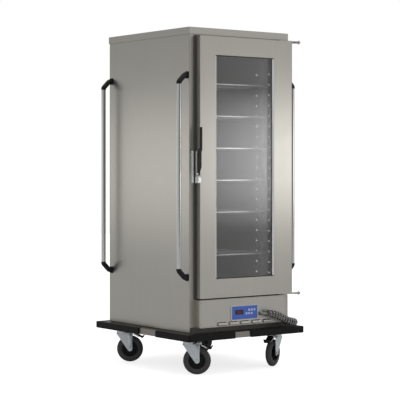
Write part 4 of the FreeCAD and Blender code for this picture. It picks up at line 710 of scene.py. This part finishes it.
# %% Screws of the hinges
HINGE_SCREW_R = 3.4 * MM
LEAF_T = 4 * MM
LEAF_SCREWS_Y = (-356 * MM, -332 * MM)
LOWER_LEAF_ROWS = (26 * MM, 44 * MM)
UPPER_LEAF_ROWS = (55 * MM, 37 * MM)
ARM_SCREWS_Y = 12 * MM
ARM_SCREWS_X = (14 * MM, 66 * MM)

bracket_low, bracket_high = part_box("hinge_brackets")
leaf_rows = [bracket_low.z + rise for rise in LOWER_LEAF_ROWS]
leaf_rows += [bracket_high.z - drop for drop in UPPER_LEAF_ROWS]
bracket_screws = [(wall_high.x + LEAF_T, y, z) for y in LEAF_SCREWS_Y for z in leaf_rows]
screw_heads("bracket_screws", bracket_screws, (1, 0, 0), HINGE_SCREW_R, "cabinet")

arm_low, arm_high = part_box("hinge_arms")
first, last = [arm_low.x + reach for reach in ARM_SCREWS_X]
arm_screws = [(x, arm_low.y + ARM_SCREWS_Y, arm_high.z) for x in spread(first, last, 3)]
screw_heads("arm_screws", arm_screws, (0, 0, 1), HINGE_SCREW_R, "door")
print("screws:", len(bracket_screws + arm_screws))

# %% [markdown]
# ## Folded edges and painted window highlights
# Sheet steel is folded, not cut off, at its outer edges, and the fold catches a fine line of light. A
# thin rod along each edge gives that line from every side. A pale strip runs up each side of the window,
# in front of the glass, and shows as a white line at its far edge: a painted highlight, white with a faint
# glow, for the light that the window's edge catches.

# %% Folded edges
EDGE_R = 1.6 * MM
EDGE_EASE = 4 * MM
EDGE_SIDES = 12
EDGE_SHORT = 2 * MM
RING_INSET = 0.6 * MM
WALL_INSET = 0.8 * MM


def folded_edge(name, corners, body, ring=False):
    """Thin rod along the corners of a sheet, which meets itself for a ring."""
    line = eased(corners, EDGE_EASE, 3, ring)
    if ring:
        line.append(line[0])
    shape = bmesh.new()
    swept(shape, line, [EDGE_R] * len(line), EDGE_SIDES)
    return piece_from(name, shape, body, "stainless_outer")


def face_ring(low, high, y):
    """Corners of a box's upright face."""
    return [(low.x, y, low.z), (high.x, y, low.z), (high.x, y, high.z), (low.x, y, high.z)]


door_low, door_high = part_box("door_skin")
inset = Vector((1, 0, 1)) * RING_INSET
door_ring = face_ring(door_low + inset, door_high - inset, door_low.y + RING_INSET)
housing_ring = face_ring(housing_low + inset, housing_high - inset, housing_low.y + RING_INSET)
edges = [folded_edge("door_edge", door_ring, "door", True),
         folded_edge("housing_edge", housing_ring, "cabinet", True)]
for x, side_name in ((wall_low.x + WALL_INSET, "left"), (wall_high.x - WALL_INSET, "right")):
    for y, y_name in ((wall_low.y + WALL_INSET, "front"), (wall_high.y - WALL_INSET, "rear")):
        upright = [(x, y, wall_low.z + EDGE_SHORT), (x, y, wall_high.z - EDGE_SHORT)]
        edges.append(folded_edge("_".join(("wall_edge", side_name, y_name)), upright, "cabinet"))
print("folded edges:", len(edges))

# %% Window highlight strips
# Pale strips up each side of the window, in front of the glass: a painted highlight of the reveal's front edge,
# white with a faint glow.
HIGHLIGHT_DEPTH = 4.6 * MM
HIGHLIGHT_T = 2.6 * MM
BEAD_W = 14.5 * MM
bead_low, bead_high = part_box("window_bead")
inset = Vector((1, 0, 1)) * (BEAD_W + HIGHLIGHT_T / 2)
highlight_low, highlight_high = bead_low + inset, bead_high - inset
half, tall = HIGHLIGHT_T / 2, (highlight_high.z - highlight_low.z) / 2
strip = [(-half, -tall), (half, -tall), (half, tall), (-half, tall)]
highlight_strips = bmesh.new()
for x in (highlight_low.x, highlight_high.x):
    middle = (x, bead_low.y + HIGHLIGHT_DEPTH / 2, (highlight_low.z + highlight_high.z) / 2)
    add_plate(highlight_strips, strip, Matrix.Translation(middle), HIGHLIGHT_DEPTH / 2)
window_highlight_strips = piece_from("window_highlight_strips", highlight_strips, "door", "seal_rubber")
print("trim from", round(highlight_low.x / MM, 1), "to", round(highlight_high.x / MM, 1), "mm")

# %% [markdown]
# ## Rack tabs
# The uprights inside carry a pale clip under every slot, which holds a slide. Each is a small bent tongue
# that shows through the glass as a bright dot, so it is drawn once and repeated for every slot. The clips
# glow faintly, a painted glow that keeps the dot bright.

# %% Rack tabs
RACK_FACE = 262 * MM
RACK_MIDDLE = -4.5 * MM
UPRIGHTS_Y = (-318 * MM, -207 * MM, 275 * MM)
SLOT_TOP = 1650 * MM
SLOT_PITCH = 58.7 * MM
SLOT_COUNT = 20
TAB_DROP = 7 * MM
TAB_HALF_W = 3.6 * MM
TAB = [(-2, -9, 0), (3.5, -5, 0), (4.5, 0, 0), (3, 0.5, 0), (1.5, -3, 0), (-2, -6, 0)]

tab_outline = flat(eased(in_metres(TAB), 1.2 * MM, 3, True))
tabs = bmesh.new()
for side in (-1, 1):
    for y in UPRIGHTS_Y:
        for row in range(SLOT_COUNT):
            foot = (RACK_MIDDLE + side * RACK_FACE, y, SLOT_TOP - row * SLOT_PITCH - TAB_DROP)
            inward = Matrix.Translation(foot) @ Matrix.Diagonal((-side, 1, 1, 1))
            add_plate(tabs, tab_outline, inward, TAB_HALF_W)
rack_tabs = piece_from("rack_tabs", tabs, "cabinet", "pale_plastic")
print("tabs:", 2 * len(UPRIGHTS_Y) * SLOT_COUNT)

# %% [markdown]
# ## Louvre lips
# Each air slot under the keypad has a pressed lip. Pressing leaves a soft bend that leans back a little
# and catches the light, which flat CAD faces don't. One eased section, pushed out sideways, gives it.

# %% Louvre lips
LOUVRE_PITCH = 78 * MM
LOUVRE_CENTRE = 2 * MM
LOUVRE_MIDDLES = [LOUVRE_CENTRE + number * LOUVRE_PITCH for number in (-2, -1, 0, 1, 2)]
LOUVRE_HALF_W = 30.5 * MM
LOUVRE_LOW = 261 * MM
LIP_BACK = 6 * MM
LIP_SECTION = [(2, 0.5, 0), (-8.4, 2.2, 0), (-7, 12.6, 0), (-4.5, 14.2, 0), (-4, 12, 0), (-4, 4, 0)]

lips = bmesh.new()
lip_outline = flat(eased(in_metres(LIP_SECTION), 1.6 * MM, 4, True))
for middle in LOUVRE_MIDDLES:
    origin = Matrix.Translation((middle, housing_low.y + LIP_BACK, LOUVRE_LOW))
    add_plate(lips, lip_outline, origin @ Matrix.Rotation(math.radians(90), 4, "Z"), LOUVRE_HALF_W)
piece_from("louvre_lips", lips, "cabinet", "stainless_outer")
print("louvres:", len(LOUVRE_MIDDLES))

# %% [markdown]
# ## Display digits
# The controller shows its reading as red seven-segment digits. Each segment is a slim six-cornered
# plate, and a small table says which of the seven are lit for each number.

# %% Seven-segment digits
LIT = {"3": "abgcd", "5": "afgcd", "0": "abcdef"}
READING = "350"
DIGIT_H = 10.5 * MM
DIGIT_W = 5.5 * MM
DIGIT_PITCH = DIGIT_W * 1.75
SEGMENT = 1.2 * MM
SEGMENT_T = 0.1 * MM
SEGMENT_GAP = 0.3 * MM
display_low, display_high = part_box("display_window")


def segment_ends(letter):
    """Both ends of a segment, in the digit's own width and height."""
    top, middle, bottom = DIGIT_H / 2, 0, -DIGIT_H / 2
    left, right = -DIGIT_W / 2, DIGIT_W / 2
    ends = {
        "a": ((left, top), (right, top)), "b": ((right, top), (right, middle)),
        "c": ((right, middle), (right, bottom)), "d": ((left, bottom), (right, bottom)),
        "e": ((left, middle), (left, bottom)), "f": ((left, top), (left, middle)),
        "g": ((left, middle), (right, middle)),
    }
    return [Vector((*end, 0)) for end in ends[letter]]


digits = bmesh.new()
middle = (display_low + display_high) / 2
for number, figure in enumerate(READING):
    digit_x = middle.x + (number - 1) * DIGIT_PITCH
    origin = Matrix.Translation((digit_x, display_low.y - SEGMENT_T / 2, middle.z))
    for letter in LIT[figure]:
        begin, end = segment_ends(letter)
        along = (end - begin).normalized()
        aside = Vector((-along.y, along.x, 0)) * SEGMENT / 2
        begin, end = begin + along * SEGMENT_GAP, end - along * SEGMENT_GAP
        nose = along * SEGMENT / 2
        corners = [begin, begin + nose + aside, end - nose + aside, end, end - nose - aside,
                   begin + nose - aside]
        add_plate(digits, flat(corners), origin, SEGMENT_T / 2)
reading = piece_from("display_digits", digits, "cabinet", "display_lens", smooth=False)
print("digits:", READING)

# %% [markdown]
# ## Writing finishes as expressions
# A finish is a tree of nodes. Long trees are hard to read in code, so a small class wraps a socket and
# lets plus, minus and times add Math nodes. One method makes any other node.


# %% Sockets as numbers
class Wire:
    """Output socket of a node, with arithmetic that adds Math nodes."""

    def __init__(self, recipe, socket):
        self.recipe = recipe
        self.socket = socket

    def maths(self, operation, first, second):
        """Adds one Math node."""
        return self.recipe.node("ShaderNodeMath", {"operation": operation}, {0: first, 1: second})

    def __add__(self, other):
        return self.maths("ADD", self, other)

    __radd__ = __add__

    def __sub__(self, other):
        return self.maths("SUBTRACT", self, other)

    def __rsub__(self, other):
        return self.maths("SUBTRACT", other, self)

    def __mul__(self, other):
        return self.maths("MULTIPLY", self, other)

    __rmul__ = __mul__

    def __gt__(self, other):
        return self.maths("GREATER_THAN", self, other)


print("wires take + - * and >")


# %% Recipes
class Recipe:
    """Node tree that is filled by one method."""

    def __init__(self, tree):
        self.tree = tree

    def node(self, kind, settings=None, sockets=None, output=0):
        """Adds a node, sets it, fills its sockets with values or wires, and gives one output."""
        made = self.tree.nodes.new(kind)
        for name, value in (settings or {}).items():
            setattr(made, name, value)
        self.fill(made, sockets or {})
        return Wire(self, made.outputs[output])

    def fill(self, made, sockets):
        """Links wires to a node's sockets, and writes plain values into them."""
        for name, value in sockets.items():
            if isinstance(value, Wire):
                self.tree.links.new(value.socket, made.inputs[name])
            else:
                made.inputs[name].default_value = value

    def blend(self, share, first, second):
        """Colour between two colours."""
        return self.node("ShaderNodeMix", {"data_type": "RGBA"}, {0: share, 6: first, 7: second}, 2)

    def noise(self, scale, detail, stretch=(1, 1, 1)):
        """Noise from 0 to 1 that is fixed to the piece, finer along axes with a larger stretch."""
        place = self.node("ShaderNodeTexCoord", output="Object")
        if stretch != (1, 1, 1):
            place = self.node("ShaderNodeVectorMath", {"operation": "MULTIPLY"}, {0: place, 1: stretch})
        return self.node("ShaderNodeTexNoise", None, {"Vector": place, "Scale": scale, "Detail": detail})

    def bump(self, height, strength, distance, normal=None):
        """Surface relief from a height, laid over the piece's own normal or a given one."""
        relief = {"Height": height, "Strength": strength, "Distance": distance}
        if normal:
            relief["Normal"] = normal
        return self.node("ShaderNodeBump", None, relief)


def new_finish(name, **constants):
    """Material with a Principled shader whose fixed sockets are set, and its recipe."""
    material = bpy.data.materials.new(name)
    material.use_nodes = True
    recipe = Recipe(material.node_tree)
    recipe.material = material
    recipe.shader = material.node_tree.nodes["Principled BSDF"]
    recipe.fill(recipe.shader, {socket.replace("_", " "): value for socket, value in constants.items()})
    return recipe


def grey(level, warmth=0.0):
    """Opaque colour of one level, warmer for a positive warmth."""
    return (level * (1 + warmth), level, level * (1 - warmth), 1)


print("recipe helpers ready")

# %% [markdown]
# ## Steel finishes
# Brushed sheet has fine parallel scratches, which are noise stretched a hundred times along the brushing.
# They lighten and darken the steel a little and roughen it. Broad soft patches stand for handling and
# wiping. Polished pieces use the same idea with much less of it. On the outer sheets a Bevel node lies
# under the scratches, which shades the folded edges as round.


# %% Brushed and polished steel
def steel(name, colour, roughness, scratch, stretch, patches=0.05, edge=0.0, metal=1.0):
    """Metal with stretched scratches and broad patches, whose edges look rounded by the edge radius."""
    recipe = new_finish(name, Metallic=metal)
    fine = recipe.noise(1.0, 3.0, stretch)
    streak = recipe.noise(0.13, 4.0, stretch)
    broad = recipe.noise(3.5, 3.0)
    smudge = recipe.noise(14.0, 5.0)
    darker = tuple(channel * (1 - scratch) for channel in colour[:3]) + (1,)
    lighter = tuple(min(1, channel * (1 + scratch)) for channel in colour[:3]) + (1,)
    rounded = recipe.node("ShaderNodeBevel", None, {"Radius": edge}) if edge else None
    recipe.fill(recipe.shader, {
        "Base Color": recipe.blend(fine * 0.3 + streak * 0.4 + broad * 0.3, darker, lighter),
        "Roughness": roughness + (fine + streak - 1) * scratch * 0.8 + (broad + smudge - 1) * patches,
        "Normal": recipe.bump(fine, 0.15, 0.05 * MM, rounded),
    })
    return recipe.material


UPWARD_LIMIT = 0.9


def painted_shade_on_top(material, level):
    """Paints shade on the faces that look straight up, by darkening their base colour."""
    recipe = Recipe(material.node_tree)
    shader = material.node_tree.nodes["Principled BSDF"]
    tone = Wire(recipe, shader.inputs["Base Color"].links[0].from_socket)
    normal = recipe.node("ShaderNodeNewGeometry", output="Normal")
    upward = recipe.node("ShaderNodeSeparateXYZ", None, {0: normal}, "Z") > UPWARD_LIMIT
    recipe.fill(shader, {"Base Color": recipe.blend(upward, tone, grey(level, 0.1))})
    return material


UPRIGHT = (900, 900, 12)
LEVEL = (12, 12, 900)
finishes = {
    "stainless_outer": steel("stainless_outer", (0.52, 0.505, 0.46, 1), 0.34, 0.10, UPRIGHT, edge=2 * MM),
    "stainless_inner": steel("stainless_inner", grey(0.56, 0.01), 0.42, 0.08, UPRIGHT),
    "shelf_wire": steel("shelf_wire", grey(0.95), 0.24, 0.04, (200, 200, 200), 0.03, metal=0.6),
    # The chassis gets painted shade on its upward faces, a darker tone there.
    "chassis_steel": painted_shade_on_top(steel("chassis_steel", grey(0.29, 0.06), 0.38, 0.10, LEVEL), 0.11),
    "polished_tube": steel("polished_tube", grey(0.72), 0.14, 0.05, (500, 500, 20), 0.03),
    "hinge_steel": steel("hinge_steel", grey(0.52, 0.02), 0.30, 0.08, LEVEL),
    "latch_chrome": steel("latch_chrome", grey(0.92), 0.16, 0.03, (150, 150, 150), 0.02, metal=0.6),
    "impeller_alloy": steel("impeller_alloy", grey(0.62), 0.36, 0.06, (300, 300, 300)),
    # A darker copy of the steel, painted shade for the recessed base pan.
    "painted_shade_steel": steel("painted_shade_steel", grey(0.13, 0.06), 0.45, 0.10, LEVEL),
    "heater_sheath": steel("heater_sheath", grey(0.30, 0.06), 0.45, 0.15, (60, 60, 60), 0.10),
}
print("steel finishes:", len(finishes))

# %% [markdown]
# ## Plastics, rubber and paint
# Moulded plastic has a fine even grain that scatters its gloss. Rubber is duller, and is greyed by dust
# where it is handled. Enamel is smoother, with a slight orange-peel surface. The clips and the window's
# strips get a faint painted glow, light that no lamp gives, so that such small white pieces still show
# behind glass; the window's strips are a painted highlight.


# %% Moulded and painted finishes
def moulded(name, colour, roughness, grain, grain_size, dust, **constants):
    """Plastic, rubber or paint with a fine grain and slightly uneven tone."""
    recipe = new_finish(name, **constants)
    fine = recipe.noise(1 / grain_size, 3.0)
    broad = recipe.noise(9.0, 4.0)
    dusty = tuple(channel + (0.35 - channel) * dust for channel in colour[:3]) + (1,)
    recipe.fill(recipe.shader, {
        "Base Color": recipe.blend(broad * broad * 0.9, colour, dusty),
        "Roughness": roughness + (fine - 0.5) * 0.12 + (broad - 0.5) * 0.10,
        "Normal": recipe.bump(fine, grain, 0.2 * MM),
    })
    return recipe.material


finishes.update({
    "grey_plastic": moulded("grey_plastic", grey(0.07), 0.50, 0.25, 1.2 * MM, 0.08),
    "pale_plastic": moulded("pale_plastic", grey(0.50, 0.02), 0.45, 0.2, 1.0 * MM, 0.04),
    # The clips and the window's strips glow faintly: painted light, with no lamp in them.
    "clip_nylon_painted_glow": moulded("clip_nylon_painted_glow", grey(0.88), 0.35, 0.1, 1.0 * MM, 0.02, Emission_Color=grey(1.0),
                          Emission_Strength=0.45),
    # The window strips' white and glow are a painted highlight.
    "white_painted_highlight": moulded("white_painted_highlight", grey(0.88), 0.30, 0.1, 1.0 * MM, 0.02, Emission_Color=grey(1.0),
                          Emission_Strength=0.35),
    "keypad_blue": moulded("keypad_blue", (0.052, 0.125, 0.47, 1), 0.38, 0.15, 0.8 * MM, 0.06),
    "display_lens": moulded("display_lens", (0.012, 0.008, 0.014, 1), 0.14, 0.0, 1.0 * MM, 0.02),
    "key_light": moulded("key_light", (0.42, 0.52, 0.85, 1), 0.42, 0.15, 0.8 * MM, 0.05),
    "motor_steel": moulded("motor_steel", grey(0.10), 0.40, 0.3, 2.5 * MM, 0.10),
    "bumper_rubber": moulded("bumper_rubber", grey(0.006), 0.55, 0.3, 0.9 * MM, 0.01,
                             Specular_IOR_Level=0.16),
    "black_plastic": moulded("black_plastic", grey(0.007), 0.32, 0.2, 0.7 * MM, 0.02,
                             Specular_IOR_Level=0.25),
    "seal_rubber": moulded("seal_rubber", grey(0.035), 0.58, 0.3, 0.8 * MM, 0.08),
    "cord_black": moulded("cord_black", grey(0.02), 0.22, 0.1, 0.6 * MM, 0.04, Coat_Weight=1.0,
                          Coat_Roughness=0.05, Coat_IOR=2.4, Specular_IOR_Level=1.0),
    "hub_plastic": moulded("hub_plastic", grey(0.005), 0.42, 0.3, 0.9 * MM, 0.02, Specular_IOR_Level=0.2),
    "grey_tyre": moulded("grey_tyre", (0.052, 0.049, 0.053, 1), 0.60, 0.35, 1.0 * MM, 0.10,
                         Specular_IOR_Level=0.3),
    "pedal_plastic": moulded("pedal_plastic", grey(0.005), 0.42, 0.3, 0.9 * MM, 0.02, Specular_IOR_Level=0.2),
    "insulation_wool": moulded("insulation_wool", (0.62, 0.55, 0.32, 1), 0.95, 0.9, 0.8 * MM, 0.10),
})
print("finishes so far:", len(finishes))

# %% [markdown]
# ## Zinc, circuit board and glass
# Blue zinc plate shows a faint crystal pattern. A circuit board is lacquer over copper tracks, which run
# in straight lines. Glass is clear, so it only mirrors: a mirror whose alpha follows the Fresnel curve
# is clear face on and reflects at a slant.

# %% Zinc plate
zinc = new_finish("zinc_plate", Metallic=0.85)
place = zinc.node("ShaderNodeTexCoord", output="Object")
crystals = zinc.node("ShaderNodeTexVoronoi", None, {"Vector": place, "Scale": 220.0})
cloud = zinc.noise(30.0, 4.0)
zinc.fill(zinc.shader, {
    "Base Color": zinc.blend(crystals * 0.3 + cloud * 0.5, (0.55, 0.59, 0.61, 1), (0.80, 0.84, 0.86, 1)),
    "Roughness": 0.36 + (crystals - 0.5) * 0.08 + (cloud - 0.5) * 0.12,
})
finishes["zinc_plate"] = zinc.material

# %% Circuit board
board = new_finish("circuit_board", Coat_Weight=0.4)
across = board.noise(1.0, 0.0, (40, 40, 600))
along = board.noise(1.0, 0.0, (600, 40, 40))
tracks = (across > 0.56) * 0.6 + (along > 0.6) * 0.4
board.fill(board.shader, {
    "Base Color": board.blend(tracks, (0.010, 0.085, 0.030, 1), (0.030, 0.20, 0.070, 1)),
    "Roughness": 0.45 - tracks * 0.1,
    "Normal": board.bump(tracks, 0.3, 0.1 * MM),
})
finishes["circuit_board"] = board.material

# %% Glass
glass = new_finish("door_glass", Metallic=1.0, Base_Color=grey(0.92))
wiped = glass.noise(5.0, 3.0)
mirror = glass.node("ShaderNodeFresnel", None, {"IOR": 1.5})
glass.fill(glass.shader, {
    "Alpha": mirror * 0.52,
    "Roughness": 0.03 + wiped * 0.04,
})
finishes["door_glass"] = glass.material

# %% [markdown]
# ## Giving every piece its finish
# The record already says which finish each CAD piece takes, and the new pieces named their slot when
# they were made, so two loops hand out nearly all the materials. The base pan, the digits, the clips and
# the window's strips then get finishes that no slot of the record has. The base pan's dark steel is painted
# shade in its recess, and the clips and strips have a painted glow.

# %% Hand out the finishes
for part in frame["record"]["subparts"]:
    node = frame["nodes"][part["node"]]
    for slot in node.material_slots:
        slot.material = finishes[part["material_slot"]]

# The base pan under the housing takes the darker steel: painted shade in its recess.
frame["nodes"]["base_pan"].material_slots[0].material = finishes["painted_shade_steel"]

lit = new_finish("lit_digits", Base_Color=(0.12, 0.01, 0.01, 1), Roughness=0.4, Emission_Strength=0.32)
glow = lit.noise(700.0, 1.0)
lit.fill(lit.shader, {"Emission Color": lit.blend(glow, (1.0, 0.05, 0.03, 1), (1.0, 0.14, 0.08, 1))})

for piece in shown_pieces():
    if piece.name in frame["nodes"]:
        continue
    piece.data.materials.clear()
    piece.data.materials.append(finishes[piece["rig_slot"]])
reading.data.materials[0] = lit.material
# The clips take the faintly glowing nylon, a painted glow.
rack_tabs.data.materials[0] = finishes["clip_nylon_painted_glow"]
# The window strips take the white painted highlight, which glows faintly.
window_highlight_strips.data.materials[0] = finishes["white_painted_highlight"]
print("finishes handed out:", len(finishes) + 1)

# %% [markdown]
# ## Floor and world
# The floor is pale and matte and keeps the cabinet's soft shadow. It also glows a little, only for the
# camera, glass and gloss, which lifts it to white. The world does the same: white where it is seen, and
# plainer as a light. Its gloss is a little stronger at the front right, as from a large window there,
# and weaker at the front left, as from a dark screen: that gives bright tubes their dark middle line.

# %% Floor
FLOOR_HALF = 14
FLOOR_GLOW = 0.74
GLOSS_SHARE = 0.1
floor_mesh = bpy.data.meshes.new("floor")
corners = [(x * FLOOR_HALF, y * FLOOR_HALF, 0) for x, y in ((-1, -1), (1, -1), (1, 1), (-1, 1))]
floor_mesh.from_pydata(corners, [], [(0, 1, 2, 3)])
floor = bpy.data.objects.new("floor", floor_mesh)
bpy.context.scene.collection.objects.link(floor)

ground = new_finish("floor", Base_Color=grey(0.58), Roughness=0.9, Specular_IOR_Level=0.1)
seen = ground.node("ShaderNodeLightPath", output="Is Camera Ray")
seen = seen + ground.node("ShaderNodeLightPath", output="Is Transmission Ray")
seen = seen + ground.node("ShaderNodeLightPath", output="Is Glossy Ray") * GLOSS_SHARE
glow = {"Color": grey(1.0), "Strength": seen * FLOOR_GLOW}
lift = ground.node("ShaderNodeEmission", None, glow, "Emission")
both = ground.node("ShaderNodeAddShader", None, {0: Wire(ground, ground.shader.outputs[0]), 1: lift})
ground.fill(ground.tree.nodes["Material Output"], {"Surface": both})
floor_mesh.materials.append(ground.material)
print("floor:", 2 * FLOOR_HALF, "m wide")

# %% World
WINDOW_SIDE = (0.595, -0.804, 0.0)
SCREEN_SIDE = (-0.233, -0.972, 0.0)
SCREEN_FADE = {"From Min": 0.84, "From Max": 0.97, "To Min": 0.0, "To Max": 0.50}
GLOSS_LEVEL = 0.525
WINDOW_GAIN = 0.085
PLAIN_LEVEL = 0.75
world = bpy.data.worlds.new("studio")
world.use_nodes = True
bpy.context.scene.world = world
sky = Recipe(world.node_tree)
heading = sky.node("ShaderNodeTexCoord", output="Generated")
window = sky.node("ShaderNodeVectorMath", {"operation": "DOT_PRODUCT"}, {0: heading, 1: WINDOW_SIDE}, "Value")
seen = sky.node("ShaderNodeLightPath", output="Is Camera Ray")
seen = seen + sky.node("ShaderNodeLightPath", output="Is Transmission Ray")
gloss = sky.node("ShaderNodeLightPath", output="Is Glossy Ray")
screen = sky.node("ShaderNodeVectorMath", {"operation": "DOT_PRODUCT"}, {0: heading, 1: SCREEN_SIDE}, "Value")
shade = sky.node("ShaderNodeMapRange", {"interpolation_type": "SMOOTHSTEP"},
                 {"Value": screen, **SCREEN_FADE}, "Result")
mirrored = gloss * (GLOSS_LEVEL + window * WINDOW_GAIN - shade)
level = seen + (1 - seen) * (mirrored + (1 - gloss) * PLAIN_LEVEL)
sky.fill(world.node_tree.nodes["Background"], {"Color": grey(1.0), "Strength": level})
print("world nodes:", len(world.node_tree.nodes))

# %% [markdown]
# ## Studio lights
# Brushed steel shows the lights as soft bands. Two near soft boxes at chest height, one at the front
# right and a dimmer one at the back left, give the door and the side panel a bright middle that fades
# towards top and bottom. Each box fades towards its own edges, so that glass mirrors no hard frame. A
# broad one hangs above the front. A small one just inside the door lifts the wires and tabs, and no
# mirror shows it.


# %% Making a soft box
def soft_box(name, place, aim, size, radiance):
    """Rectangular light that is at its full radiance in its middle and dark at its edges."""
    light = bpy.data.lights.new(name, "AREA")
    light.shape = "RECTANGLE"
    light.size, light.size_y = size
    light.energy = radiance * math.pi * size[0] * size[1]
    light.use_nodes = True
    recipe = Recipe(light.node_tree)
    spot = recipe.node("ShaderNodeNewGeometry", output="Parametric")
    wide = recipe.node("ShaderNodeSeparateXYZ", None, {0: spot}, "X")
    high = recipe.node("ShaderNodeSeparateXYZ", None, {0: spot}, "Y")
    fade = wide * (1 - wide) * high * (1 - high) * 16
    recipe.fill(light.node_tree.nodes["Emission"], {"Strength": fade})
    lamp = bpy.data.objects.new(name, light)
    lamp.location = place
    lamp.rotation_euler = (Vector(aim) - Vector(place)).to_track_quat("-Z", "Y").to_euler()
    bpy.context.scene.collection.objects.link(lamp)
    return lamp


def mirror_place(surface, across, distance):
    """Place where the camera sees a light mirrored in an upright surface that faces an axis."""
    way = surface - EYE
    way = Vector((way.x, way.y, 0)).normalized()
    way[across] = -way[across]
    return surface + way * distance


mirrored_at = mirror_place(Vector((0, 0, 1)), across=1, distance=1.0)
print("a light one metre from a wall's mirror point:", tuple(round(value, 2) for value in mirrored_at))

# %% Placing the soft boxes
DOOR_BAND_Z = 1.17
SIDE_BAND_Z = 1.12
FILL_Z = 1.1
door_spot = Vector((door_high.x, door_low.y, DOOR_BAND_Z))
side_spot = Vector((wall_low.x, wall_low.y, SIDE_BAND_Z))
door_light_place = mirror_place(door_spot, across=1, distance=1.6)
side_light_place = mirror_place(side_spot, across=0, distance=1.8)
soft_box("door_box", door_light_place, door_spot, size=(1.6, 0.92), radiance=1.6)
soft_box("side_box", side_light_place, side_spot, size=(1.7, 1.1), radiance=0.60)
cavity_low, cavity_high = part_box("inner_liner")
fill = soft_box("cavity_fill", (0, cavity_low.y + 12 * MM, FILL_Z), (0, cavity_high.y, FILL_Z),
                size=(0.2, 1.25), radiance=0.9)
fill.visible_glossy = False
fill.visible_camera = False
soft_box("top_box", (-0.6, -1.2, 4.2), (0, 0, 1), size=(2.5, 2.5), radiance=1.5)
bpy.context.scene.view_settings.view_transform = "Standard"
print("lights:", [light.name for light in bpy.data.lights])
